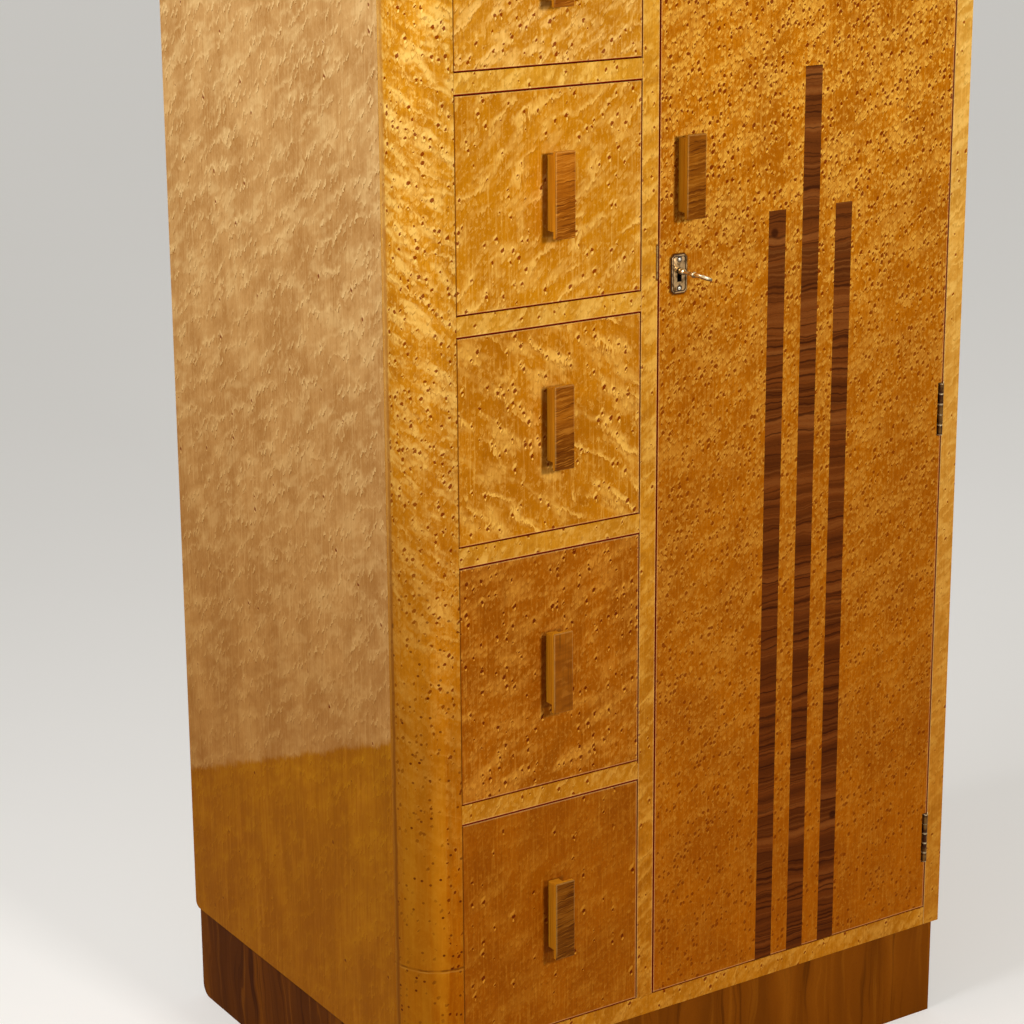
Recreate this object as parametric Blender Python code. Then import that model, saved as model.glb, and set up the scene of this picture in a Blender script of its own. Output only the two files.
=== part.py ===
"""Gentleman's wardrobe in veneered maple: five drawers beside a hanging space with one hinged, locking door.

Lengths are in metres, +Z is up and the doors face -Y. The origin is on the floor, in the middle of the
footprint that the carcass and the key in its lock cover together.
"""

import math

import bmesh
import bpy
from mathutils import Matrix, Vector

# Fits and cuts
TOUCH_GAP = 0.0003
REVEAL = 0.0009
SLIDE_GAP = 0.0010
TURN_GAP = 0.00025
OVERRUN = 0.002
OVERLAP = 0.0015

# Carcass boards
CARCASS_WIDTH = 0.760
CARCASS_DEPTH = 0.560
SIDE_THICKNESS = 0.0247
TOP_THICKNESS = 0.0245
BOTTOM_THICKNESS = 0.0235
PARTITION_THICKNESS = 0.0222
BACK_THICKNESS = 0.006
CORNER_RADIUS = 0.0555
SIDE_HEEL_RADIUS = 0.009
BOARD_EASE = 0.0003

# Plinth
PLINTH_HEIGHT = 0.1245
PLINTH_SETBACK = 0.006
PLINTH_THICKNESS = 0.019
PLINTH_HEEL_RADIUS = 0.016

# Drawer fronts from the floor up, and the frames that part them
DRAWER_FRONT_WIDTH = 0.2345
DRAWER_FRONT_HEIGHTS = (0.271, 0.268, 0.226, 0.227, 0.205)
RAIL_HEIGHT = 0.0228
RAIL_DEPTH = 0.060
RUNNER_WIDTH = 0.022
DUST_PANEL_THICKNESS = 0.006
GUIDE_HEIGHT = 0.010
GUIDE_END_INSET = 0.004

# Drawer boxes
DRAWER_LENGTH = 0.515
DRAWER_FRONT_THICKNESS = 0.019
DRAWER_SIDE_THICKNESS = 0.0095
DRAWER_BACK_THICKNESS = 0.0095
DRAWER_BOTTOM_THICKNESS = 0.0045
DRAWER_SIDE_DROP = 0.006
DRAWER_BACK_DROP = 0.005
GROOVE_DEPTH = 0.0045
GROOVE_HEIGHT = 0.008
FRONT_EASE = 0.0005

# Door and its three stripes of inlay
DOOR_THICKNESS = 0.020
INLAY_WIDTH = 0.0236
INLAY_PITCH = 0.048
INLAY_OFFSET = 0.0015
INLAY_THICKNESS = 0.0012
CENTRE_INLAY_LENGTH = 1.0655
OUTER_INLAY_LENGTH = 0.908

# Pulls, alike on the drawers and the door
PULL_WIDTH = 0.025
PULL_HEIGHT = 0.092
PULL_PLATE_THICKNESS = 0.0055
PULL_PROJECTION = 0.0243
PULL_INSET = 0.0056
PULL_EASE = 0.0008
# How far each drawer's pull sits right of and above the middle, from the floor up
DRAWER_PULL_PLACES = ((0.0017, 0.0027), (-0.0004, 0.0029), (0.0015, 0.0064), (0.0030, 0.0047), (0.0015, 0.0040))
DOOR_PULL_BACKSET = 0.0322
DOOR_PULL_HEIGHT = 0.9607

# Butt hinges, 2 1/2 inch, let into the door's edge alone
HINGE_LENGTH = 0.0635
HINGE_LEAF_WIDTH = 0.0175
HINGE_LEAF_THICKNESS = 0.0018
HINGE_KNUCKLE_RADIUS = 0.0029
HINGE_KNUCKLES = 5
HINGE_PIN_RADIUS = 0.0014
HINGE_PROUD = 0.0005
HINGE_SEAT_GAP = 0.0005
HINGE_NOTCH = 0.0018
END_HINGE_HEIGHT = 0.094
MIDDLE_HINGE_HEIGHT = 0.644

# Lock, bolt and escutcheon
LOCK_BACKSET = 0.027
LOCK_HEIGHT = 0.855
LOCK_CASE_WIDTH = 0.046
LOCK_CASE_HEIGHT = 0.060
LOCK_CASE_RISE = 0.006
LOCK_CASE_THICKNESS = 0.0115
LOCK_CASE_WALL = 0.0018
BOLT_LENGTH = 0.030
BOLT_HEIGHT = 0.014
BOLT_THICKNESS = 0.006
BOLT_THROW = 0.009
BOLT_EASE = 0.0006
BOLT_CLEARANCE = 0.0003
MORTISE_DEPTH = 0.011
MORTISE_CLEARANCE = 0.0012
ESCUTCHEON_WIDTH = 0.021
ESCUTCHEON_HEIGHT = 0.043
ESCUTCHEON_THICKNESS = 0.0012
ESCUTCHEON_CLIP = 0.0035
ESCUTCHEON_EASE = 0.0004
ESCUTCHEON_DROP = 0.003
KEYHOLE_RADIUS = 0.0031
KEYHOLE_SLOT_WIDTH = 0.0030
KEYHOLE_DROP = 0.0082
KEYHOLE_CLEARANCE = 0.0008

# Key
KEY_REACH = 0.055
KEY_SHANK_RADIUS = 0.0021
KEY_BARREL_RADIUS = 0.0034
KEY_BARREL_START = 0.0024
KEY_BARREL_LENGTH = 0.0075
KEY_BEAD_RADIUS = 0.0034
KEY_BEAD_START = 0.0255
KEY_BEAD_LENGTH = 0.0028
KEY_STEP = 0.0008
KEY_BOW_LENGTH = 0.0235
KEY_BOW_WIDTH = 0.0205
KEY_BOW_RIM = 0.0044
KEY_BOW_THICKNESS = 0.0026
KEY_BIT_REACH = 0.0070
KEY_BIT_LENGTH = 0.0056
KEY_BIT_THICKNESS = 0.0022
KEY_BIT_CLEARANCE = 0.0008
KEY_REST_TILT = math.radians(29.0)

# Hanging rail
RAIL_TUBE_RADIUS = 0.0110
RAIL_FLANGE_RADIUS = 0.0200
RAIL_FLANGE_THICKNESS = 0.0050
RAIL_TUBE_DROP = 0.060

ARC_STEPS = 40
SMALL_ARC_STEPS = 8
ROUND_SIDES = 24
PIN_SIDES = 16

# Levels and faces that several pieces share
carcass_left = -CARCASS_WIDTH / 2
carcass_right = CARCASS_WIDTH / 2
front_face = KEY_REACH - (KEY_REACH + CARCASS_DEPTH) / 2
back_face = front_face + CARCASS_DEPTH
board_back = back_face - BACK_THICKNESS - TOUCH_GAP
post_back = front_face + CORNER_RADIUS
side_inner_left = carcass_left + SIDE_THICKNESS
side_inner_right = carcass_right - SIDE_THICKNESS
drawer_opening_left = carcass_left + CORNER_RADIUS
drawer_opening_right = drawer_opening_left + DRAWER_FRONT_WIDTH + 2 * REVEAL
partition_left = drawer_opening_right
partition_right = partition_left + PARTITION_THICKNESS
bottom_board_top = PLINTH_HEIGHT + BOTTOM_THICKNESS
drawer_openings = []
level = bottom_board_top
for front_height in DRAWER_FRONT_HEIGHTS:
    drawer_openings.append((level, level + front_height + 2 * REVEAL))
    level = drawer_openings[-1][1] + RAIL_HEIGHT
top_underside = drawer_openings[-1][1]
carcass_top = top_underside + TOP_THICKNESS

door_left = partition_right + REVEAL
door_right = side_inner_right - REVEAL
door_low = bottom_board_top + REVEAL
door_high = top_underside - REVEAL
door_back = front_face + DOOR_THICKNESS
hinge_x = side_inner_right - TOUCH_GAP - HINGE_KNUCKLE_RADIUS
hinge_y = front_face - HINGE_PROUD
hinge_heights = {
    "upper": door_high - END_HINGE_HEIGHT,
    "middle": door_low + MIDDLE_HINGE_HEIGHT,
    "lower": door_low + END_HINGE_HEIGHT,
}

key_x = door_left + LOCK_BACKSET
key_z = door_low + LOCK_HEIGHT
lock_case_front = door_back - LOCK_CASE_THICKNESS
lock_case_low = key_z + LOCK_CASE_RISE - LOCK_CASE_HEIGHT / 2
lock_case_high = lock_case_low + LOCK_CASE_HEIGHT
bolt_low = key_z + KEY_BIT_REACH + KEY_BIT_CLEARANCE + LOCK_CASE_WALL
bolt_middle_y = (lock_case_front + door_back) / 2
bit_room_front = lock_case_front + LOCK_CASE_WALL
bit_room_back = door_back - LOCK_CASE_WALL

# Colour, roughness and metallic value of each finish
FINISHES = {
    "birdseye_maple": ((0.56, 0.28, 0.06, 1.0), 0.30, 0.0),
    "walnut": ((0.12, 0.05, 0.02, 1.0), 0.35, 0.0),
    "walnut_pull": ((0.27, 0.12, 0.04, 1.0), 0.35, 0.0),
    "oak_drawer": ((0.48, 0.31, 0.15, 1.0), 0.55, 0.0),
    "plywood": ((0.50, 0.33, 0.17, 1.0), 0.65, 0.0),
    "brass": ((0.62, 0.45, 0.18, 1.0), 0.35, 1.0),
    "nickel": ((0.55, 0.52, 0.47, 1.0), 0.30, 1.0),
    "steel": ((0.45, 0.44, 0.42, 1.0), 0.35, 1.0),
}


def clear_scene():
    """Takes out whatever the opened file holds."""
    for old in list(bpy.data.objects):
        bpy.data.objects.remove(old, do_unlink=True)


def finish(name):
    """The material of one finish, made the first time that it is asked for."""
    made = bpy.data.materials.get(name)
    if made is None:
        colour, roughness, metallic = FINISHES[name]
        made = bpy.data.materials.new(name)
        made.use_nodes = True
        shader = made.node_tree.nodes["Principled BSDF"]
        shader.inputs["Base Color"].default_value = colour
        shader.inputs["Roughness"].default_value = roughness
        shader.inputs["Metallic"].default_value = metallic
    return made


def joint_empty(name, place, carrier=None):
    """An empty on a joint's axis, which carries the pieces that move with it."""
    empty = bpy.data.objects.new(name, None)
    bpy.context.scene.collection.objects.link(empty)
    empty.parent = carrier
    empty.location = Vector(place) - (world_place(carrier) if carrier else Vector())
    return empty


def world_place(empty):
    """Where an empty stands, from the places of the empties that carry it."""
    place = Vector(empty.location)
    return place + world_place(empty.parent) if empty.parent else place


def arc(centre, radius, start, end, steps):
    """Points along an arc between two angles in degrees, with both ends."""
    turns = [math.radians(start + (end - start) * step / steps) for step in range(steps + 1)]
    return [(centre[0] + radius * math.cos(turn), centre[1] + radius * math.sin(turn)) for turn in turns]


def ellipse(centre, half_width, half_length, sides):
    """Points round a closed ellipse, or a circle where both halves are alike."""
    turns = [math.tau * side / sides for side in range(sides)]
    return [(centre[0] + half_width * math.cos(turn), centre[1] + half_length * math.sin(turn)) for turn in turns]


def rectangle(low, high):
    """The outline of a rectangle, from its lowest and highest corners."""
    return [(low[0], low[1]), (high[0], low[1]), (high[0], high[1]), (low[0], high[1])]


def prism(outline, axis, start, end):
    """A bar: an outline square to the axis, carried along it. Its two coordinates keep the X, Y, Z order."""
    along = "XYZ".index(axis)
    bar = bmesh.new()
    rings = []
    for place in (start, end):
        corners = [list(point) for point in outline]
        for corner in corners:
            corner.insert(along, place)
        rings.append([bar.verts.new(corner) for corner in corners])
    first, last = rings
    bar.faces.new(first)
    bar.faces.new(last)
    for index, corner in enumerate(first):
        before = index - 1
        bar.faces.new((first[before], corner, last[index], last[before]))
    bmesh.ops.recalc_face_normals(bar, faces=bar.faces)
    return bar


def block(low, high):
    """A box, from its lowest and highest corners."""
    return prism(rectangle(low[:2], high[:2]), "Z", low[2], high[2])


def turned(profile, sides, axis, centre):
    """A turned piece: (distance along the axis, radius) steps spun about the axis, closed by flat ends."""
    piece = bmesh.new()
    rings = []
    for distance, radius in profile:
        circle = ellipse((0, 0), radius, radius, sides)
        rings.append([piece.verts.new((across, up, distance)) for across, up in circle])
    piece.faces.new(rings[0])
    piece.faces.new(rings[-1])
    for lower, upper in zip(rings, rings[1:]):
        for side in range(sides):
            piece.faces.new((lower[side - 1], lower[side], upper[side], upper[side - 1]))
    bmesh.ops.recalc_face_normals(piece, faces=piece.faces)
    aim = {"X": Matrix.Rotation(math.pi / 2, 4, "Y"), "Y": Matrix.Rotation(-math.pi / 2, 4, "X"), "Z": Matrix()}
    piece.transform(Matrix.Translation(centre) @ aim[axis])
    return piece


def add_object(name, shape, material, carrier=None, smooth=False):
    """A new object whose origin is in the middle of its shape, under its carrier."""
    corners = [vertex.co for vertex in shape.verts]
    low = Vector([min(corner[axis] for corner in corners) for axis in range(3)])
    high = Vector([max(corner[axis] for corner in corners) for axis in range(3)])
    middle = (low + high) / 2
    shape.transform(Matrix.Translation(-middle))
    mesh = bpy.data.meshes.new(name)
    shape.to_mesh(mesh)
    shape.free()
    if smooth:
        mesh.shade_smooth()
        mesh.set_sharp_from_angle(angle=math.radians(35.0))
    mesh.materials.append(material)
    made = bpy.data.objects.new(name, mesh)
    bpy.context.scene.collection.objects.link(made)
    made.parent = carrier
    made.location = middle - (world_place(carrier) if carrier else Vector())
    return made


def node(name, shape, material, carrier=None, ease=None, smooth=False):
    """One piece of the wardrobe. An ease takes the sharp arrises off it before any cut."""
    made = add_object(name, shape, finish(material), carrier, smooth)
    if ease:
        eased = made.modifiers.new("eased_arrises", "BEVEL")
        eased.width = ease
        eased.segments = 1
        eased.limit_method = "ANGLE"
        eased.angle_limit = math.radians(40.0)
    return made


def combine(target, shape, operation):
    """Cuts a hidden shape out of the target, or joins it on."""
    count = len(target.modifiers)
    helper = add_object(f"{target.name}_helper_{count}", shape, target.data.materials[0], target.parent)
    helper.hide_render = True
    helper.display_type = "WIRE"
    change = target.modifiers.new(f"{operation.lower()}_{count}", "BOOLEAN")
    change.operation = operation
    change.solver = "EXACT"
    change.object = helper


def cut(target, shape):
    combine(target, shape, "DIFFERENCE")


def join(target, shape):
    combine(target, shape, "UNION")


def board_outline(right_end):
    """Plan of a board in the carcass: from side to side, with its front left corner stepped round the post."""
    left_end = side_inner_left + TOUCH_GAP
    step_x = drawer_opening_left + TOUCH_GAP
    step_y = post_back + TOUCH_GAP
    return [(step_x, front_face), (right_end, front_face), (right_end, board_back), (left_end, board_back),
            (left_end, step_y), (step_x, step_y)]


def drawer_guide(level):
    """The strip that keeps a drawer from wandering into the hollow behind the rounded corner."""
    low = (side_inner_left + GUIDE_END_INSET, post_back + GUIDE_END_INSET, level - OVERLAP)
    return block(low, (drawer_opening_left, board_back - GUIDE_END_INSET, level + GUIDE_HEIGHT))


def make_carcass():
    """Sides, rounded post, top, bottom, partition and back, which stay still."""
    side_low = PLINTH_HEIGHT
    side_high = top_underside - TOUCH_GAP

    def side_outline(front):
        heel = arc((back_face - SIDE_HEEL_RADIUS, side_low + SIDE_HEEL_RADIUS), SIDE_HEEL_RADIUS,
                   -90, 0, SMALL_ARC_STEPS)
        return [(front, side_low)] + heel + [(back_face, side_high), (front, side_high)]

    left_side = prism(side_outline(post_back + TOUCH_GAP), "X", carcass_left, side_inner_left)
    node("left_side", left_side, "birdseye_maple")
    right_side = prism(side_outline(front_face), "X", side_inner_right, carcass_right)
    node("right_side", right_side, "birdseye_maple", ease=BOARD_EASE)

    post_centre = (drawer_opening_left, post_back)
    post_outline = arc(post_centre, CORNER_RADIUS, 180, 270, ARC_STEPS) + [post_centre]
    node("corner_post", prism(post_outline, "Z", side_low, side_high), "birdseye_maple", smooth=True)

    top_outline = arc(post_centre, CORNER_RADIUS, 180, 270, ARC_STEPS)
    top_outline += [(carcass_right, front_face), (carcass_right, back_face), (carcass_left, back_face)]
    node("top_board", prism(top_outline, "Z", top_underside, carcass_top), "birdseye_maple", ease=FRONT_EASE)

    bottom = prism(board_outline(side_inner_right - TOUCH_GAP), "Z", PLINTH_HEIGHT, bottom_board_top)
    bottom_board = node("bottom_board", bottom, "birdseye_maple", ease=BOARD_EASE)
    join(bottom_board, drawer_guide(bottom_board_top))

    partition_low = (partition_left, front_face, bottom_board_top + TOUCH_GAP)
    partition = node("partition", block(partition_low, (partition_right, board_back, side_high)),
                     "birdseye_maple", ease=BOARD_EASE)
    mortise_y = BOLT_THICKNESS / 2 + MORTISE_CLEARANCE
    mortise_low = (partition_right - MORTISE_DEPTH, bolt_middle_y - mortise_y, bolt_low - MORTISE_CLEARANCE)
    mortise_high = (partition_right + OVERRUN, bolt_middle_y + mortise_y,
                    bolt_low + BOLT_HEIGHT + MORTISE_CLEARANCE)
    cut(partition, block(mortise_low, mortise_high))

    back_low = (side_inner_left + TOUCH_GAP, back_face - BACK_THICKNESS, PLINTH_HEIGHT)
    node("back_panel", block(back_low, (side_inner_right - TOUCH_GAP, back_face, side_high)), "plywood")


def make_drawer_frames():
    """Front rail, runners and dust panel in one glued frame between each pair of drawers."""
    for number, (_, rail_low) in enumerate(drawer_openings[:-1]):
        rail_high = rail_low + RAIL_HEIGHT
        outline = board_outline(partition_left - TOUCH_GAP)
        frame = node(f"drawer_frame_{len(drawer_openings) - 1 - number}", prism(outline, "Z", rail_low, rail_high),
                     "birdseye_maple", ease=BOARD_EASE)
        hollow_low = (drawer_opening_left + RUNNER_WIDTH, front_face + RAIL_DEPTH, rail_low - OVERRUN)
        hollow_high = (partition_left - RUNNER_WIDTH, board_back - RUNNER_WIDTH, rail_high - DUST_PANEL_THICKNESS)
        cut(frame, block(hollow_low, hollow_high))
        join(frame, drawer_guide(rail_high))


def make_plinth():
    """Three walnut boards, set back under the carcass. The front one turns the rounded corner."""
    plinth_left = carcass_left + PLINTH_SETBACK
    plinth_right = carcass_right - PLINTH_SETBACK
    plinth_front = front_face + PLINTH_SETBACK
    top = PLINTH_HEIGHT - TOUCH_GAP
    centre = (drawer_opening_left, post_back)
    outer_radius = CORNER_RADIUS - PLINTH_SETBACK
    outline = arc(centre, outer_radius, 180, 270, ARC_STEPS)
    outline += [(plinth_right, plinth_front), (plinth_right, plinth_front + PLINTH_THICKNESS)]
    outline += arc(centre, outer_radius - PLINTH_THICKNESS, 270, 180, ARC_STEPS)
    node("plinth_front", prism(outline, "Z", 0, top), "walnut", smooth=True)

    def flank_outline(front):
        heel = arc((back_face - PLINTH_HEEL_RADIUS, PLINTH_HEEL_RADIUS), PLINTH_HEEL_RADIUS, -90, 0, SMALL_ARC_STEPS)
        return [(front, 0)] + heel + [(back_face, top), (front, top)]

    left_flank = prism(flank_outline(post_back + TOUCH_GAP), "X", plinth_left, plinth_left + PLINTH_THICKNESS)
    node("plinth_left", left_flank, "walnut")
    flank_front = plinth_front + PLINTH_THICKNESS + TOUCH_GAP
    right_flank = prism(flank_outline(flank_front), "X", plinth_right - PLINTH_THICKNESS, plinth_right)
    node("plinth_right", right_flank, "walnut")


def make_hanging_rail():
    """A tube across the hanging space, with a flange against the partition and one against the side."""
    start = partition_right + TOUCH_GAP
    end = side_inner_right - TOUCH_GAP
    flange_in = start + RAIL_FLANGE_THICKNESS
    flange_out = end - RAIL_FLANGE_THICKNESS
    profile = [(start, RAIL_FLANGE_RADIUS), (flange_in, RAIL_FLANGE_RADIUS), (flange_in, RAIL_TUBE_RADIUS),
               (flange_out, RAIL_TUBE_RADIUS), (flange_out, RAIL_FLANGE_RADIUS), (end, RAIL_FLANGE_RADIUS)]
    centre = (0, (door_back + board_back) / 2, top_underside - RAIL_TUBE_DROP)
    node("hanging_rail", turned(profile, ROUND_SIDES, "X", centre), "steel", smooth=True)


def pull_shape(centre_x, centre_z):
    """The plate that the fingers hook behind, and the narrower stem that stands it off the wood."""
    outer = front_face - PULL_PROJECTION
    plate_back = outer + PULL_PLATE_THICKNESS
    half_width = PULL_WIDTH / 2
    half_height = PULL_HEIGHT / 2
    plate = block((centre_x - half_width, outer, centre_z - half_height),
                  (centre_x + half_width, plate_back, centre_z + half_height))
    stem = block((centre_x - half_width + PULL_INSET, plate_back - OVERLAP, centre_z - half_height + PULL_INSET),
                 (centre_x + half_width - PULL_INSET, front_face - TOUCH_GAP, centre_z + half_height - PULL_INSET))
    return plate, stem


def make_pull(name, centre_x, centre_z, carrier):
    plate, stem = pull_shape(centre_x, centre_z)
    pull = node(name, plate, "walnut_pull", carrier, ease=PULL_EASE)
    join(pull, stem)


def make_drawer(number, low, high, pull_place):
    """One drawer: front, two grooved sides, back, bottom and pull, on an empty that slides along -Y."""
    name = f"drawer_{number}"
    slide = joint_empty(f"{name}_slide", ((drawer_opening_left + drawer_opening_right) / 2, front_face, low))
    front_low = (drawer_opening_left + REVEAL, front_face, low + REVEAL)
    front_high = (drawer_opening_right - REVEAL, front_face + DRAWER_FRONT_THICKNESS, high - REVEAL)
    front = node(f"{name}_front", block(front_low, front_high), "birdseye_maple", slide, ease=FRONT_EASE)

    box_left = drawer_opening_left + SLIDE_GAP
    box_right = drawer_opening_right - SLIDE_GAP
    box_front = front_high[1] + TOUCH_GAP
    box_back = front_face + DRAWER_LENGTH
    side_low = low + TOUCH_GAP
    side_high = front_high[2] - DRAWER_SIDE_DROP
    groove_low = side_low + GROOVE_HEIGHT
    groove_high = groove_low + DRAWER_BOTTOM_THICKNESS + 2 * TOUCH_GAP

    def side_outline(outer, inner, groove):
        return [(outer, side_low), (inner, side_low), (inner, groove_low), (groove, groove_low),
                (groove, groove_high), (inner, groove_high), (inner, side_high), (outer, side_high)]

    left_inner = box_left + DRAWER_SIDE_THICKNESS
    right_inner = box_right - DRAWER_SIDE_THICKNESS
    left_groove = left_inner - GROOVE_DEPTH
    right_groove = right_inner + GROOVE_DEPTH
    node(f"{name}_side_left", prism(side_outline(box_left, left_inner, left_groove), "Y", box_front, box_back),
         "oak_drawer", slide)
    node(f"{name}_side_right", prism(side_outline(box_right, right_inner, right_groove), "Y", box_front, box_back),
         "oak_drawer", slide)
    back_low = (left_inner + TOUCH_GAP, box_back - DRAWER_BACK_THICKNESS, groove_high)
    back_high = (right_inner - TOUCH_GAP, box_back, side_high - DRAWER_BACK_DROP)
    node(f"{name}_back", block(back_low, back_high), "oak_drawer", slide)

    groove_front = front_high[1] - GROOVE_DEPTH
    bottom_low = (left_groove + TOUCH_GAP, groove_front + TOUCH_GAP, groove_low + TOUCH_GAP)
    bottom_high = (right_groove - TOUCH_GAP, box_back, groove_high - TOUCH_GAP)
    node(f"{name}_bottom", block(bottom_low, bottom_high), "plywood", slide)
    cut(front, block((left_groove, groove_front, groove_low), (right_groove, front_high[1] + OVERRUN, groove_high)))

    pull_x = (front_low[0] + front_high[0]) / 2 + pull_place[0]
    make_pull(f"{name}_pull", pull_x, (front_low[2] + front_high[2]) / 2 + pull_place[1], slide)


def make_drawers():
    for position, (low, high) in enumerate(drawer_openings):
        make_drawer(len(drawer_openings) - position, low, high, DRAWER_PULL_PLACES[position])


def keyhole_outline(grow):
    """A round hole with a slot below it, wider all round by grow."""
    radius = KEYHOLE_RADIUS + grow
    half_slot = KEYHOLE_SLOT_WIDTH / 2 + grow
    spread = math.degrees(math.asin(half_slot / radius))
    foot = key_z - KEYHOLE_DROP - grow
    rim = arc((key_x, key_z), radius, spread - 90, 270 - spread, PIN_SIDES)
    return rim + [(key_x - half_slot, foot), (key_x + half_slot, foot)]


def make_door_panel(carrier):
    """The flush door, with its beds for inlay, lock, keyhole and hinges."""
    door = node("door_panel", block((door_left, front_face, door_low), (door_right, door_back, door_high)),
                "birdseye_maple", carrier, ease=FRONT_EASE)
    door_middle = (door_left + door_right) / 2 + INLAY_OFFSET
    stripes = (("left", -1, OUTER_INLAY_LENGTH), ("centre", 0, CENTRE_INLAY_LENGTH), ("right", 1, OUTER_INLAY_LENGTH))
    for side, place, length in stripes:
        middle = door_middle + place * INLAY_PITCH
        bed_half = INLAY_WIDTH / 2 + TOUCH_GAP
        bed_back = front_face + INLAY_THICKNESS + TOUCH_GAP
        bed_high = door_low + length + TOUCH_GAP
        cut(door, block((middle - bed_half, front_face - OVERRUN, door_low - OVERRUN),
                        (middle + bed_half, bed_back, bed_high)))
        stripe_low = (middle - INLAY_WIDTH / 2, front_face, door_low)
        stripe_high = (middle + INLAY_WIDTH / 2, front_face + INLAY_THICKNESS, door_low + length)
        node(f"inlay_{side}", block(stripe_low, stripe_high), "walnut", carrier)

    cut(door, prism(keyhole_outline(KEYHOLE_CLEARANCE), "Y", front_face - OVERRUN, lock_case_front + OVERRUN))
    pocket_low = (door_left - OVERRUN, lock_case_front - TOUCH_GAP, lock_case_low - TOUCH_GAP)
    pocket_high = (door_left + LOCK_CASE_WIDTH + TOUCH_GAP, door_back + OVERRUN, lock_case_high + TOUCH_GAP)
    cut(door, block(pocket_low, pocket_high))

    for height in hinge_heights.values():
        half_length = HINGE_LENGTH / 2 + HINGE_SEAT_GAP
        seat_x = hinge_x - HINGE_KNUCKLE_RADIUS - TOUCH_GAP
        seat_back = hinge_y + HINGE_LEAF_WIDTH + HINGE_SEAT_GAP
        cut(door, block((seat_x, front_face + OVERRUN, height - half_length),
                        (door_right + OVERRUN, seat_back, height + half_length)))
        notch_back = hinge_y + HINGE_KNUCKLE_RADIUS + HINGE_SEAT_GAP
        cut(door, block((seat_x - HINGE_NOTCH, front_face - OVERRUN, height - half_length - TOUCH_GAP),
                        (door_right + 2 * OVERRUN, notch_back, height + half_length + TOUCH_GAP)))


def leaf_outline(side):
    """Plan of a hinge leaf with its knuckle: side 1 is the carcass leaf on the right, side -1 the door's."""
    outer = hinge_x + side * HINGE_KNUCKLE_RADIUS
    inner = outer - side * HINGE_LEAF_THICKNESS
    meet = math.degrees(math.acos((HINGE_KNUCKLE_RADIUS - HINGE_LEAF_THICKNESS) / HINGE_KNUCKLE_RADIUS))
    leaf_end = hinge_y + HINGE_LEAF_WIDTH
    start, end = (meet, 360) if side > 0 else (180 - meet, -180)
    knuckle = arc((hinge_x, hinge_y), HINGE_KNUCKLE_RADIUS, start, end, ROUND_SIDES)
    return [(outer, leaf_end), (inner, leaf_end)] + knuckle


def make_hinges(carrier):
    """Three butt hinges: each leaf keeps every second knuckle, and the carcass leaf holds the pin."""
    knuckle_length = HINGE_LENGTH / HINGE_KNUCKLES
    for name, height in hinge_heights.items():
        low = height - HINGE_LENGTH / 2
        high = height + HINGE_LENGTH / 2
        carcass_leaf = node(f"hinge_{name}_carcass_leaf", prism(leaf_outline(1), "Z", low, high), "brass")
        door_leaf = node(f"hinge_{name}_door_leaf", prism(leaf_outline(-1), "Z", low, high), "brass", carrier)
        for knuckle in range(HINGE_KNUCKLES):
            leaf = door_leaf if knuckle % 2 == 0 else carcass_leaf
            gap_low = low + knuckle * knuckle_length - TOUCH_GAP / 2
            gap_high = low + (knuckle + 1) * knuckle_length + TOUCH_GAP / 2
            if knuckle == 0:
                gap_low -= OVERRUN
            if knuckle == HINGE_KNUCKLES - 1:
                gap_high += OVERRUN
            reach = HINGE_KNUCKLE_RADIUS + TURN_GAP
            cut(leaf, block((hinge_x - reach - OVERRUN, hinge_y - reach - OVERRUN, gap_low),
                            (hinge_x + reach + OVERRUN, hinge_y + reach, gap_high)))
        pin_end = knuckle_length / 2
        pin_profile = [(low + pin_end, HINGE_PIN_RADIUS), (high - pin_end, HINGE_PIN_RADIUS)]
        join(carcass_leaf, turned(pin_profile, PIN_SIDES, "Z", (hinge_x, hinge_y, 0)))
        bore_radius = HINGE_PIN_RADIUS + TURN_GAP
        bore_profile = [(low - OVERRUN, bore_radius), (high + OVERRUN, bore_radius)]
        cut(door_leaf, turned(bore_profile, PIN_SIDES, "Z", (hinge_x, hinge_y, 0)))


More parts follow.
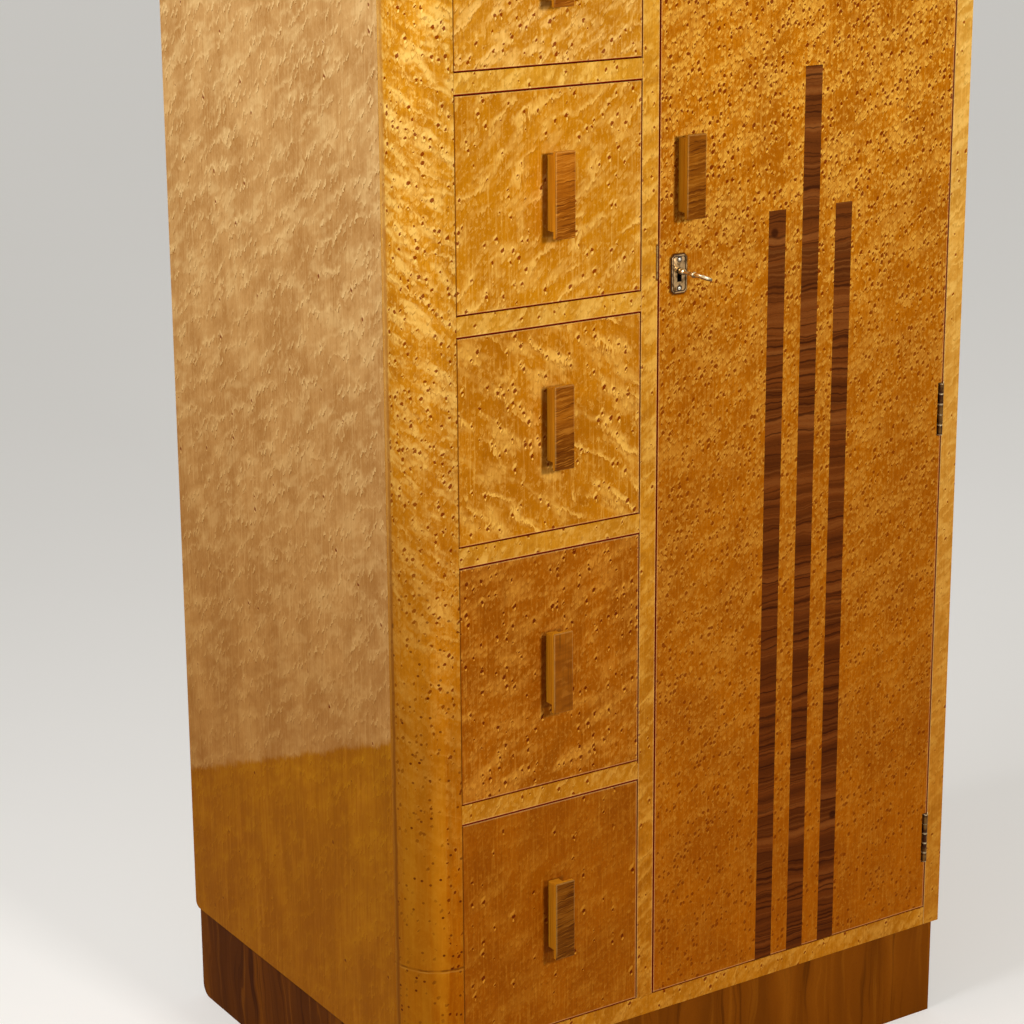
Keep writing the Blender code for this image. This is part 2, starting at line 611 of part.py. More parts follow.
def make_lock(carrier):
    """Lock case in the door's edge, its bolt, the plate round the keyhole, and the key."""
    case_low = (door_left, lock_case_front, lock_case_low)
    case_high = (door_left + LOCK_CASE_WIDTH, door_back, lock_case_high)
    case = node("lock_case", block(case_low, case_high), "brass", carrier)
    channel_y = BOLT_THICKNESS / 2 + BOLT_CLEARANCE
    cut(case, block((door_left - OVERRUN, bolt_middle_y - channel_y, bolt_low - BOLT_CLEARANCE),
                    (door_left + BOLT_LENGTH + OVERRUN, bolt_middle_y + channel_y,
                     bolt_low + BOLT_HEIGHT + BOLT_CLEARANCE)))
    bit_room = [(bit_room_front, KEY_BIT_REACH + KEY_BIT_CLEARANCE), (bit_room_back, KEY_BIT_REACH + KEY_BIT_CLEARANCE)]
    cut(case, turned(bit_room, ROUND_SIDES, "Y", (key_x, 0, key_z)))
    cut(case, prism(keyhole_outline(0), "Y", lock_case_front - OVERRUN, bit_room_front + OVERRUN))

    bolt_slide = joint_empty("lock_bolt_slide", (door_left, bolt_middle_y, bolt_low), carrier)
    bolt = block((door_left, bolt_middle_y - BOLT_THICKNESS / 2, bolt_low),
                 (door_left + BOLT_LENGTH, bolt_middle_y + BOLT_THICKNESS / 2, bolt_low + BOLT_HEIGHT))
    node("lock_bolt", bolt, "brass", bolt_slide, ease=BOLT_EASE)

    half_width = ESCUTCHEON_WIDTH / 2
    half_height = ESCUTCHEON_HEIGHT / 2
    plate_z = key_z - ESCUTCHEON_DROP
    clip_x = half_width - ESCUTCHEON_CLIP
    clip_z = half_height - ESCUTCHEON_CLIP
    corners = [(clip_x, -half_height), (half_width, -clip_z), (half_width, clip_z), (clip_x, half_height),
               (-clip_x, half_height), (-half_width, clip_z), (-half_width, -clip_z), (-clip_x, -half_height)]
    outline = [(key_x + across, plate_z + up) for across, up in corners]
    plate_back = front_face - TOUCH_GAP
    plate = node("escutcheon", prism(outline, "Y", plate_back - ESCUTCHEON_THICKNESS, plate_back),
                 "nickel", carrier, ease=ESCUTCHEON_EASE)
    cut(plate, prism(keyhole_outline(0), "Y", front_face - OVERRUN * 2, front_face + OVERRUN))
    make_key(carrier)


def make_key(carrier):
    """The key, on an empty that turns on the shank's axis. Its bow and bit lie in one plane, tilted at rest."""
    spindle = joint_empty("key_spindle", (key_x, front_face, key_z), carrier)
    tip = bit_room_back - KEY_BIT_CLEARANCE
    barrel_start = front_face - KEY_BARREL_START
    barrel_end = barrel_start - KEY_BARREL_LENGTH
    bead_start = front_face - KEY_BEAD_START
    bead_end = bead_start - KEY_BEAD_LENGTH
    bow_end = front_face - KEY_REACH
    bow_start = bow_end + KEY_BOW_LENGTH
    profile = [(tip, KEY_SHANK_RADIUS), (barrel_start, KEY_SHANK_RADIUS),
               (barrel_start - KEY_STEP, KEY_BARREL_RADIUS), (barrel_end + KEY_STEP, KEY_BARREL_RADIUS),
               (barrel_end, KEY_SHANK_RADIUS), (bead_start, KEY_SHANK_RADIUS),
               (bead_start - KEY_STEP, KEY_BEAD_RADIUS), (bead_end + KEY_STEP, KEY_BEAD_RADIUS),
               (bead_end, KEY_SHANK_RADIUS), (bow_start - KEY_BOW_RIM / 2, KEY_SHANK_RADIUS)]
    key = node("key", turned(profile, PIN_SIDES, "Y", (key_x, 0, key_z)), "nickel", spindle, smooth=True)

    bow_middle = (key_x, (bow_start + bow_end) / 2)
    half_bow = KEY_BOW_THICKNESS / 2
    bow = ellipse(bow_middle, KEY_BOW_WIDTH / 2, KEY_BOW_LENGTH / 2, ROUND_SIDES)
    eye = ellipse(bow_middle, KEY_BOW_WIDTH / 2 - KEY_BOW_RIM, KEY_BOW_LENGTH / 2 - KEY_BOW_RIM, ROUND_SIDES)
    join(key, prism(bow, "Z", key_z - half_bow, key_z + half_bow))
    cut(key, prism(eye, "Z", key_z - half_bow - OVERRUN, key_z + half_bow + OVERRUN))

    bit_back = tip - KEY_BIT_CLEARANCE
    half_bit = KEY_BIT_THICKNESS / 2
    join(key, block((key_x, bit_back - KEY_BIT_LENGTH, key_z - half_bit),
                    (key_x + KEY_BIT_REACH, bit_back, key_z + half_bit)))
    spindle.rotation_euler = (0, KEY_REST_TILT, 0)


clear_scene()
make_carcass()
make_drawer_frames()
make_plinth()
make_hanging_rail()
make_drawers()
door_pivot = joint_empty("door_pivot", (hinge_x, hinge_y, door_low))
make_door_panel(door_pivot)
make_pull("door_pull", door_left + DOOR_PULL_BACKSET, door_low + DOOR_PULL_HEIGHT, door_pivot)
make_hinges(door_pivot)
make_lock(door_pivot)
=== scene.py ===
import math

import bmesh
import bpy
import numpy as np
from mathutils import Matrix, Vector


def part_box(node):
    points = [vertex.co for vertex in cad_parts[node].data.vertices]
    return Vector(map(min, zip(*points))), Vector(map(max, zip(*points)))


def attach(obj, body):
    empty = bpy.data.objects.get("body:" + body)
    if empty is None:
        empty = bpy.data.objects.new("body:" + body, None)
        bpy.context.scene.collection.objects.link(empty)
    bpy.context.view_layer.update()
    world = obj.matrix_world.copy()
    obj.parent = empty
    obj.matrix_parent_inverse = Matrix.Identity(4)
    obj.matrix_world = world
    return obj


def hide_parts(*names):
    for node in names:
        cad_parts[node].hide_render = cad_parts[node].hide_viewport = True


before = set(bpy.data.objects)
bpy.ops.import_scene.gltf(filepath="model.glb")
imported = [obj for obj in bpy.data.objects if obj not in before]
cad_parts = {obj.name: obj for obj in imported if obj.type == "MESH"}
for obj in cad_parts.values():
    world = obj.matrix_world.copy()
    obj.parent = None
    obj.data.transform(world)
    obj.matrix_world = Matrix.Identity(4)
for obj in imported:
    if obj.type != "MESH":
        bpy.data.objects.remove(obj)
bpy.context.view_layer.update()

# The rounded corner post: a quarter round of softwood, veneered in one sheet of birdseye maple that is bent
# round it with the grain upright. It stands between the left side and the drawers, and it is the first board
# set up, so the veneer, its lacquer and the ways to make a curved skin are worked out here.
POST_CENTRE = (-0.3245, -0.1970)
POST_RADIUS = 0.0555
POST_ARRIS = 0.0004
POST_CRACK_HEIGHT = 0.2525
AMBER = (0.56, 0.335, 0.04)
SEAM_BROWN = (0.06, 0.014, 0.002)
SHARP_ANGLE = math.radians(38.0)


class Shade:
    """One output in a material's node tree. An expression on such values adds the Math nodes that work it out."""

    def __init__(self, tree, output=None):
        self.tree, self.output = tree, output

    def add(self, kind, settings=None, values=None, output=0):
        """A new node of this kind: first its settings, then the numbers, colours or links of its sockets."""
        made = self.tree.nodes.new("ShaderNode" + kind)
        for name, value in (settings or {}).items():
            setattr(made, name, value)
        for name, value in (values or {}).items():
            if isinstance(value, Shade):
                self.tree.links.new(value.output, made.inputs[name])
            elif isinstance(value, tuple) and len(value) == 3 and made.inputs[name].type == "RGBA":
                made.inputs[name].default_value = (*value, 1.0)
            else:
                made.inputs[name].default_value = value
        return Shade(self.tree, made.outputs[output])

    def math(self, operation, *values):
        return self.add("Math", {"operation": operation}, dict(enumerate(values)))

    def __add__(self, other):
        return self.math("ADD", self, other)

    def __radd__(self, other):
        return self.math("ADD", other, self)

    def __sub__(self, other):
        return self.math("SUBTRACT", self, other)

    def __rsub__(self, other):
        return self.math("SUBTRACT", other, self)

    def __mul__(self, other):
        return self.math("MULTIPLY", self, other)

    def __rmul__(self, other):
        return self.math("MULTIPLY", other, self)

    def __truediv__(self, other):
        return self.math("DIVIDE", self, other)

    def __abs__(self):
        return self.math("ABSOLUTE", self)

    def step(self, low, high):
        """0 below low and 1 above high, with a smooth rise between; it falls where low is the larger."""
        return self.add("MapRange", {"interpolation_type": "SMOOTHSTEP"},
                        {"Value": self, "From Min": low, "From Max": high, "To Min": 0.0, "To Max": 1.0})

    def mix(self, below, above):
        """The colour below where this value is 0, and the one above where it is 1."""
        return self.add("Mix", {"data_type": "RGBA"}, {0: self, 6: below, 7: above}, 2)

    def multiply(self, colour, tint):
        """The colour times the tint, as if stained with it."""
        return self.add("Mix", {"data_type": "RGBA", "blend_type": "MULTIPLY"}, {0: 1.0, 6: colour, 7: tint}, 2)

    def fraction(self):
        """What is left of it above a whole number."""
        return self.math("FRACT", self)

    def also(self, output):
        """Another output of the node that this one comes from."""
        return Shade(self.tree, self.output.node.outputs[output])

    def split(self):
        """The three numbers of a vector or colour."""
        first = self.add("SeparateXYZ", {}, {0: self}, 0)
        return first, first.also(1), first.also(2)

    def place(self):
        """Where a point lies in the object: its x, y and z in metres."""
        return self.add("TexCoord", {}, {}, "Object").split()


def scaled(tone, share):
    """A colour made darker or lighter by this share, no part of it past white."""
    return tuple(min(1.0, share * part) for part in tone)


def halfway(tone, other):
    """The colour half way between two."""
    return tuple(0.5 * (part + next_part) for part, next_part in zip(tone, other))


def layered(colour, *layers):
    """The colour with each (share, tone) laid over it in turn."""
    for share, tone in layers:
        colour = share.mix(colour, tone)
    return colour


def new_material(name):
    """A material and the start of its node tree."""
    material = bpy.data.materials.new(name)
    material.use_nodes = True
    return material, Shade(material.node_tree)


def finish_with(material, height=None, relief=0.0, depth=0.0004, **sockets):
    """Sends values to the shader's sockets, and a height through a Bump node to its normal."""
    shader = material.node_tree.nodes["Principled BSDF"]
    if height is not None:
        sockets["Normal"] = height.add("Bump", {}, {"Strength": relief, "Distance": depth, "Height": height})
    for name, value in sockets.items():
        socket = shader.inputs[name.replace("_", " ")]
        if isinstance(value, Shade):
            material.node_tree.links.new(value.output, socket)
        elif isinstance(value, tuple):
            socket.default_value = (*value, 1.0)
        else:
            socket.default_value = value
    return material


def grained(start, grain):
    """Metres across and along the grain: from the piece's own map, or from where its grain runs in the object.

    Across is the sum of the other two coordinates, so the pattern runs unstretched round a board's edge.
    """
    if grain == "UV":
        return start.add("TexCoord", {}, {}, "UV").split()[:2]
    x, y, z = start.place()
    return {"X": (y + z, x), "Y": (x + z, y), "Z": (x + y, z)}[grain]


def cloud(across, along, seed, width, length, detail=2.0, distortion=0.0):
    """Noise whose soft spots are about width by length metres, in the slice of a solid noise that seed names."""
    place = across.add("CombineXYZ", {}, {"X": across * (1 / width), "Y": along * (1 / length), "Z": seed})
    return place.add("TexNoise", {"noise_dimensions": "3D"},
                     {"Vector": place, "Scale": 1.0, "Detail": detail, "Roughness": 0.55,
                      "Distortion": distortion})


def turned_to(across, along, rise):
    """The same place measured along a line that rises by so many degrees from level, and square to it."""
    level, upright = math.cos(math.radians(rise)), math.sin(math.radians(rise))
    return across * level + along * upright, along * level - across * upright


def curl_of(across, along, seed, spacing, rise):
    """Where a place lies in a run of soft bands, as a number that grows by 1 from each band to the next.

    It is the distance square to the bands over their spacing, bent by a noise so that they wander.
    """
    run, side = turned_to(across, along, rise)
    return side * (1 / spacing) + cloud(side, run, seed, 1.3 * spacing, 2.6 * spacing) * 2.6


def oval(across, along, middle, half, lean=0.0):
    """1 in a small oval of these half sizes, whose long way leans by so many degrees, falling to 0 at its rim."""
    run, side = turned_to(across - middle[0], along - middle[1], lean)
    run, side = run * (1 / half[0]), side * (1 / half[1])
    return (run * run + side * side).step(1.0, 0.15)


def scattered(across, along, seed, width, length):
    """The nearest of points strewn one to each width by length: metres across and along from it, where it is,
    two numbers drawn for it, and a value that falls to 0 before the next point takes over.
    """
    place = across.add("CombineXYZ", {}, {"X": across * (1 / width) + seed, "Y": along * (1 / length) + seed})
    gap = place.add("TexVoronoi", {"voronoi_dimensions": "2D"},
                    {"Vector": place, "Scale": 1.0, "Randomness": 1.0}, "Distance")
    point_x, point_y, _ = gap.also("Position").split()
    first, second, _ = gap.also("Color").split()
    point_across, point_along = (point_x - seed) * width, (point_y - seed) * length
    return (across - point_across, along - point_along, point_across, point_along, first, second,
            gap.step(0.62, 0.42))


def birdseye(name, grain, seed, tones, curl, fleck, eyes, grit=0.3, marks=None, deepen=0.0, calm=None,
             teeth=(0.0028, 0.0100, 0.50)):
    """Lacquered birdseye maple.

    tones are its dark, middle and bright colours. curl is the spacing and rise of its bands, how strong their
    crests are and how strong the soft roll between them; each crest is a painted highlight edged with painted shade.
    fleck is the spacing and lean of its short flecks, how bright their painted highlight is and how dark the painted
    shade below it, their width as a share of the spacing, and how far they stand in rows on the crests, where each
    is a slanted stroke and not a flame. eyes is the spacing of its eyes, the share of places that hold one off the
    bands and on them, and their radius; above each eye lies a painted highlight, and below it painted shade and a
    painted glint. grit is how strong its finest mottle is, deepen how much darker and more amber it grows towards
    the foot of the wardrobe, partly a deeper polish and partly painted shade of the light falling off towards the
    floor, calm the heights between which the figure comes alive and how much less often an eye is held below them,
    teeth how wide, long and deep the fingers are that notch each crest, and marks adds what one board has.
    """
    material, start = new_material(name)
    across, along = grained(start, grain)
    dark, middle, bright = tones
    lively = along.step(*calm[:2]) * 0.78 + 0.22 if calm else 1.0
    ragged = cloud(across, along, seed + 7.7, 0.0032, 0.0042) - 0.5
    loose_across, loose_along = across + ragged * 0.0050, along + ragged * 0.0056
    drift = cloud(across, along, seed + 3.1, 0.07, 0.11, 3.0, 0.4)
    colour = drift.step(0.34, 0.68).mix(halfway(dark, middle), middle)

    pitch, rise, crest, roll = curl
    band = curl_of(loose_across, loose_along, seed, pitch, rise)
    part = band.fraction()
    run, side = turned_to(across, along, rise)
    shown = cloud(side, run, seed + 5.2, 1.2 * pitch, 1.1 * pitch).step(0.42, 0.62) * lively
    swell = cloud(side, run, seed + 6.6, 0.55 * pitch, 1.3 * pitch, 2.5) + abs(part - 0.5) * 0.16
    fibre = cloud(across, along, seed + 0.4, 0.0024, 0.05, 2.5)
    mottle = cloud(loose_across, loose_along, seed + 9.4, 0.0030, 0.0048, 3.0)
    grit = grit * (0.35 + 0.65 * lively) if calm else grit
    finger_width, finger_length, depth_cut = teeth
    notched = band + (cloud(across, along, seed + 8.3, finger_width, finger_length, 1.5) - 0.5) * depth_cut
    front = notched.fraction()
    broken = cloud(across, along, seed + 8.9, 0.9 * finger_width, 0.5 * finger_length, 1.5).step(0.42, 0.56)
    lit = front.step(0.0, 0.05) * front.step(0.38, 0.03) * shown * crest
    shaded = front.step(0.78, 0.95) * front.step(1.0, 0.975) * shown * crest
    colour = layered(
        colour,
        (swell.step(0.52, 0.70) * roll * lively, bright), (swell.step(0.50, 0.32) * roll * lively * 0.8, dark),
        (fibre.step(0.50, 0.74) * 0.34, dark), (fibre.step(0.48, 0.26) * 0.28, bright),
        (mottle.step(0.52, 0.72) * grit, bright), (mottle.step(0.46, 0.28) * grit * 0.8, dark),
        (lit * 0.85, scaled(bright, 1.06)), (shaded * (0.35 + broken * 0.50), dark))

    spacing, lean, brightness, darkness, width, rows = fleck
    from_across, from_along, at_across, at_along, draw, size, fade = scattered(
        loose_across, loose_along, seed + 2.6, spacing, 1.35 * spacing)
    strength = (swell + draw * 0.30).step(0.58, 0.76) * fade * lively
    if rows:
        row = curl_of(at_across, at_along, seed, pitch, rise)
        row = abs(row.fraction() - 0.5).step(0.12, 0.34)
        strength = strength.math("MAXIMUM", strength, draw.step(0.05, 0.35) * fade * lively)
        strength = strength * (row * rows + (1 - rows))
    # Each fleck: a painted highlight, with its painted shade below it.
    aside = (from_across - from_along * math.tan(math.radians(90 - lean))) * (1 / spacing)
    beside = abs(aside)
    above = from_along * (1 / (1.35 * spacing)) + 0.30 + (aside * 1.7 if rows else beside * -1.2)
    fleck_highlight = above.step(-0.01, 0.05) * above.step(0.85, 0.05) * beside.step(2.0 * width, width)
    fleck_shade = above.step(-0.40, -0.14) * above.step(0.02, -0.04) * beside.step(1.5 * width, 0.5 * width)
    colour = layered(colour, (fleck_highlight * strength * (0.40 + size * 0.55) * brightness, bright),
                     (fleck_shade * strength * (0.45 + size * 0.55) * darkness, scaled(dark, 0.80)))

    spacing, off_bands, on_bands, radius = eyes
    from_across, from_along, eye_across, eye_along, draw, size, fade = scattered(
        loose_across, loose_along, seed + 4.4, spacing, 1.15 * spacing)
    eye_band = curl_of(eye_across, eye_along, seed, *curl[:2]) + 0.42
    near = abs(eye_band.fraction() - 0.5).step(0.24, 0.08)
    held = (near * (on_bands - off_bands) + off_bands - draw).step(-0.01, 0.03) * fade
    if calm:
        held = held * (lively * (1 - calm[2]) + calm[2])
    grown = 0.50 + size * 0.90
    from_across, from_along = from_across / grown, from_along / grown
    held_lit = held * (0.40 + near * 0.60) * lively
    # Round each eye: a painted highlight above it, and below it painted shade and a painted glint (bead).
    eye_highlight = oval(from_across, from_along, (-0.6 * radius, 2.6 * radius), (3.6 * radius, 1.5 * radius), 52.0)
    eye_shade = oval(from_across, from_along, (1.4 * radius, -2.2 * radius), (3.0 * radius, 2.0 * radius), 60.0)
    bead = oval(from_across, from_along, (0.45 * radius, -2.2 * radius), (0.85 * radius, 1.3 * radius))
    spot = oval(from_across, from_along, (0.0, 0.0), (1.7 * radius, 1.45 * radius), 60.0).step(0.05, 0.60)
    colour = layered(colour, (eye_shade * held_lit * 0.45, dark), (eye_highlight * held_lit * 0.75, bright),
                     (bead * held * lively * 0.90, scaled(bright, 1.15)),
                     (spot * held * 0.90, (0.54 * dark[0], 0.20 * dark[1], 0.15 * dark[2])))
    # Darker and more amber towards the foot: partly a deeper polish, partly painted shade of the light falling off
    # towards the floor.
    if deepen:
        height_up = along if grain == "UV" else start.place()[2]
        depth = height_up.step(1.42, 0.12) * deepen
        colour = depth.mix(colour, depth.multiply(colour, AMBER))
    if marks:
        colour = marks(start, across, along, colour)
    height = lit * 0.15 - shaded * 0.1 + mottle * 0.30 + (fleck_highlight - fleck_shade) * strength * 0.08 - spot * held * 0.1
    return finish_with(material, height, 0.16, 0.0010, Base_Color=colour, Roughness=0.42 + fibre * 0.16,
                       Specular_IOR_Level=0.01, Coat_Weight=0.012, Coat_Roughness=0.18)


def line_at(value, place, half_width):
    """1 on a thin line where the value is at that place, fading over half its width."""
    return abs(value - place).step(half_width, 0.4 * half_width)


def lofted(name, rings, round_again=False, smooth=True):
    """A closed skin over rings of points, given as an array of rings by points by three coordinates.

    Face (i, j) joins points j and j + 1 of ring i to the same points of ring i + 1. Flat faces close the first
    and the last ring or, with round_again, the last ring joins the first.
    """
    rings = np.asarray(rings, float)
    count, around = rings.shape[:2]
    ring, point = np.meshgrid(np.arange(count if round_again else count - 1), np.arange(around), indexing="ij")
    above, beside = (ring + 1) % count, (point + 1) % around
    corners = [ring * around + point, ring * around + beside, above * around + beside, above * around + point]
    faces = np.stack(corners, -1).reshape(-1, 4).tolist()
    if not round_again:
        faces += [list(range(around)), list(range((count - 1) * around, count * around))]
    return skin(name, rings.reshape(-1, 3), faces, smooth)


def placed(name, data):
    """A new object in the scene, with this mesh, lamp or camera."""
    made = bpy.data.objects.new(name, data)
    bpy.context.scene.collection.objects.link(made)
    return made


def skin(name, points, faces, smooth=True):
    """An object at the origin with these points and faces, each face turned outwards."""
    mesh = bpy.data.meshes.new(name)
    mesh.from_pydata(np.asarray(points).tolist(), [], faces)
    shape = bmesh.new()
    shape.from_mesh(mesh)
    bmesh.ops.recalc_face_normals(shape, faces=shape.faces)
    shape.to_mesh(mesh)
    shape.free()
    if smooth:
        mesh.shade_smooth()
        mesh.set_sharp_from_angle(angle=SHARP_ANGLE)
    return placed(name, mesh)


def piece(made, body, slot, material, *nodes):
    """Gives a new piece its material, sets it riding, and lets it stand for CAD nodes. Its slot name is not used."""
    made.data.materials.append(material)
    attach(made, body)
    if nodes:
        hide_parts(*nodes)
    return made


def dress(material, *nodes):
    """Gives CAD nodes this material."""
    for node in nodes:
        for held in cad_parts[node].material_slots:
            held.material = material


def taken(items, what, columns=1, kind=float):
    """One attribute of every item of a mesh's collection, as an array with this many columns."""
    values = np.empty(len(items) * columns, kind)
    items.foreach_get(what, values)
    return values.reshape(-1, columns)


def map_by_faces(made, across, along):
    """Writes the piece's own map: metres across the grain and along it, for each corner of each face.

    Each is a function of the corner's x, y and z and of its face's normal, as arrays.
    """
    mesh = made.data
    corners = taken(mesh.loops, "vertex_index", kind=int)[:, 0]
    sizes = taken(mesh.polygons, "loop_total", kind=int)[:, 0]
    x, y, z = taken(mesh.vertices, "co", 3)[corners].T
    normal = np.repeat(taken(mesh.polygons, "normal", 3), sizes, axis=0).T
    flat = np.stack([across(x, y, z, normal), along(x, y, z, normal)], -1)
    mesh.uv_layers.new(name="grain").data.foreach_set("uv", flat.astype(np.float32).ravel())


def arc_points(centre, radius, start, end, steps):
    """Points round an arc: the centre plus the radius times the cosine and sine of an even spread of angles."""
    turn = np.radians(np.linspace(start, end, steps + 1))
    return np.stack([centre[0] + radius * np.cos(turn), centre[1] + radius * np.sin(turn)], -1)


def stacked(outlines, heights):
    """Rings for lofted: each flat outline of x and y at its own height."""
    return [np.column_stack([outline, np.full(len(outline), height)])
            for outline, height in zip(outlines, heights)]


def round_the_post(x, y, radius=POST_RADIUS):
    """Metres round the post: the angle of the place about the post's centre times the radius."""
    return radius * np.arctan2(y - POST_CENTRE[1], x - POST_CENTRE[0])


def post_marks(start, across, along, colour):
    """The old crack round the foot of the veneer, and a chip out of its joint with the side."""
    waver = cloud(across, along, 7.7, 0.02, 0.02) * 0.004
    streak = cloud(across, along, 15.5, 0.016, 0.45, 1.0)
    lower, foot = along.step(0.75, 0.40), along.step(1.15, 0.35)
    # Painted shade on the foot of the post beside the side.
    shaded_by_side = across.step(-1.95 * POST_RADIUS, -2.355 * POST_RADIUS)
    from_across, from_along, _, _, draw, size, fade = scattered(across, along, 8.8, 0.0105, 0.0150)
    dots = oval(from_across, from_along, (0.0, 0.0), (0.0019, 0.0017)).step(0.05, 0.50) * draw.step(0.36, 0.33)
    crack = line_at(along + waver, POST_CRACK_HEIGHT + 0.002, 0.0015)
    lifted = line_at(along + waver, POST_CRACK_HEIGHT - 0.0004, 0.0012)
    faint = cloud(across, along, 21.3, 0.012, 0.05, 1.0).step(0.36, 0.60) * 0.40 + 0.26
    chip = abs(along - POST_CHIP[1]).step(0.0035, 0.0015) * abs(across - POST_CHIP[0]).step(0.0022, 0.0008)
    tangent = across + math.pi * POST_RADIUS
    # By the side: a pale painted reflection of the room along the post's edge, brown towards the foot, and a dark
    # line of painted shade beside it.
    painted_edge_tone = along.step(1.05, 0.42).mix((0.56, 0.27, 0.062), (0.27, 0.094, 0.005))
    return layered(
        colour,
        (streak.step(0.48, 0.34) * lower * 0.45, (0.27, 0.082, 0.003)),
        (streak.step(0.52, 0.68) * lower * 0.45, (0.50, 0.185, 0.006)),
        (foot * shaded_by_side * 0.55, (0.27, 0.096, 0.004)),
        (dots * fade * along.step(0.80, 0.60) * (0.55 + size * 0.4), (0.095, 0.011, 0.001)),
        (lifted * faint * 0.28, (0.66, 0.36, 0.06)), (crack * faint, (0.085, 0.018, 0.002)),
        (chip * 0.9, (0.02, 0.006, 0.002)), (tangent.step(0.0115, 0.004) * 0.72, painted_edge_tone),
        (line_at(tangent + waver, 0.0085, 0.0032) * (foot * 0.45 + 0.22), (0.16, 0.040, 0.003)),
        (abs(tangent).step(0.0016, 0.0003) * 0.45, SEAM_BROWN))


POST_CHIP = (-POST_RADIUS * math.radians(172.0), 0.6480)
post_low, post_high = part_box("corner_post")
post_outlines = [np.vstack([arc_points(POST_CENTRE, POST_RADIUS - shrink, 180, 270, 72), [POST_CENTRE]])
                 for shrink in (POST_ARRIS, 0.0, 0.0, POST_ARRIS)]
post = lofted("rounded_post", stacked(post_outlines, (post_low.z, post_low.z + POST_ARRIS,
                                                      post_high.z - POST_ARRIS, post_high.z)))
map_by_faces(post, lambda x, y, z, normal: round_the_post(x, y), lambda x, y, z, normal: z)
POST_TONES = ((0.40, 0.130, 0.003), (0.69, 0.285, 0.009), (0.94, 0.59, 0.145))
piece(post, "carcass", "birdseye_maple",
      birdseye("post_maple", "UV", 11.0, POST_TONES, (0.024, -34, 0.66, 0.64), (0.0075, 78, 0.6, 0.6, 0.20, 0),
               (0.0085, 0.20, 0.74, 0.00118), 0.50, post_marks, 1.0, (0.15, 1.00, 1.0)), "corner_post")

# The two sides: wide boards veneered outside in birdseye maple with diagonal curl, grain upright. The right one
# shows only its front edge from the front, lipped in plainer maple. Inside the hanging space it is plain.
INSIDE_TONE = (0.47, 0.25, 0.075)
# The side's tones are pale, partly with a painted reflection of the room in the lacquer; at the foot they are tinted
# back to amber.
SIDE_TONES = ((0.35, 0.144, 0.027), (0.582, 0.315, 0.104), (0.795, 0.524, 0.217))
STILE_TONES = ((0.52, 0.225, 0.016), (0.76, 0.375, 0.055), (0.94, 0.58, 0.14))
SIDE_INNER = 0.3553
HINGE_HEIGHTS = (1.3503, 0.7929, 0.2429)
AMBER_HEIGHT = 0.437
AMBER_SLOPE = 0.398
FOOT_AMBER_TINT = (0.84, 0.64, 0.045)


def plain_inside(across, along, colour, inside):
    """Plain straight-grained maple where inside is 1, in place of the figured face."""
    streaks = cloud(across, along, 4.4, 0.003, 0.12)
    plain = streaks.step(0.3, 0.7).mix(INSIDE_TONE, scaled(INSIDE_TONE, 1.25))
    return inside.mix(colour, plain)


def left_side_marks(start, across, along, colour):
    """The side is paler above a sloping line, partly as a painted reflection of the room in its lacquer; its foot is
    a deeper amber, and its inner face is plain.
    """
    x, y = start.place()[:2]
    waver = cloud(across, along, 2.2, 0.04, 0.02) * 0.016 + cloud(across, along, 6.4, 0.004, 0.012) * 0.010
    amber = (along + y * AMBER_SLOPE + waver).step(AMBER_HEIGHT + 0.015, AMBER_HEIGHT + 0.005)
    streaks = cloud(across, along, 9.1, 0.010, 0.12, 2.5)
    clouds = cloud(across, along, 5.6, 0.09, 0.07, 3.0).step(0.35, 0.7)
    foot = layered(amber.multiply(colour, FOOT_AMBER_TINT), (streaks.step(0.50, 0.70) * 0.5, (0.25, 0.074, 0.001)),
                   (streaks.step(0.45, 0.28) * 0.5, (0.43, 0.150, 0.005)), (clouds * 0.30, (0.26, 0.078, 0.001)))
    colour = amber.mix(colour, foot)
    return plain_inside(across, along, colour, x.step(-SIDE_INNER - 0.0004, -SIDE_INNER - 0.0001))


# Painted gap shade along the edges of boards, and a painted highlight on their arrises.
EDGE_SHADE_TONE = (0.170, 0.006, 0.0008)
ARRIS_HIGHLIGHT = (0.95, 0.60, 0.22)


def edge_shade_and_highlight(colour, *edges):
    """Along each edge, by the distance in from it, a dark line of painted gap shade of this width and a paler line
    beside it as a painted highlight.
    """
    for inward, dark in edges:
        colour = (inward.step(dark + 0.0013, dark + 0.0004) * 0.22).mix(colour, ARRIS_HIGHLIGHT)
        colour = inward.step(dark, dark - 0.0002).mix(colour, EDGE_SHADE_TONE) if dark else colour
    return colour


def right_side_marks(start, across, along, colour):
    """A painted highlight along the front edge's inner arris, a bright painted reflection beside each hinge, and a
    plain inner face.
    """
    x, z = start.place()[::2]
    inward = x - SIDE_INNER
    colour = edge_shade_and_highlight(colour, (inward, 0))
    # Beside each hinge, a bright painted reflection.
    for height in HINGE_HEIGHTS:
        beside = abs(z - height).step(0.0335, 0.0325) * inward.step(0.0012, 0.0007)
        colour = (beside * 0.85).mix(colour, (0.95, 0.80, 0.48))
    return plain_inside(across, along, colour, x.step(SIDE_INNER + 0.0004, SIDE_INNER + 0.0001))


dress(birdseye("side_maple", "Z", 23.0, SIDE_TONES, (0.031, -28, 0.48, 0.40), (0.0105, 106, 1.0, 1.0, 0.27, 0.85),
               (0.0240, 0.05, 0.15, 0.0012), 0.22, left_side_marks, 0.70, (-0.15, 1.10, 1.0),
               (0.0080, 0.0105, 0.70)), "left_side")
dress(birdseye("stile_maple", "Z", 31.0, STILE_TONES, (0.020, 32, 0.60, 0.50), (0.008, 75, 0.5, 0.5, 0.20, 0),
               (0.0130, 0.10, 0.55, 0.0010), 0.30, right_side_marks, 0.85), "right_side")

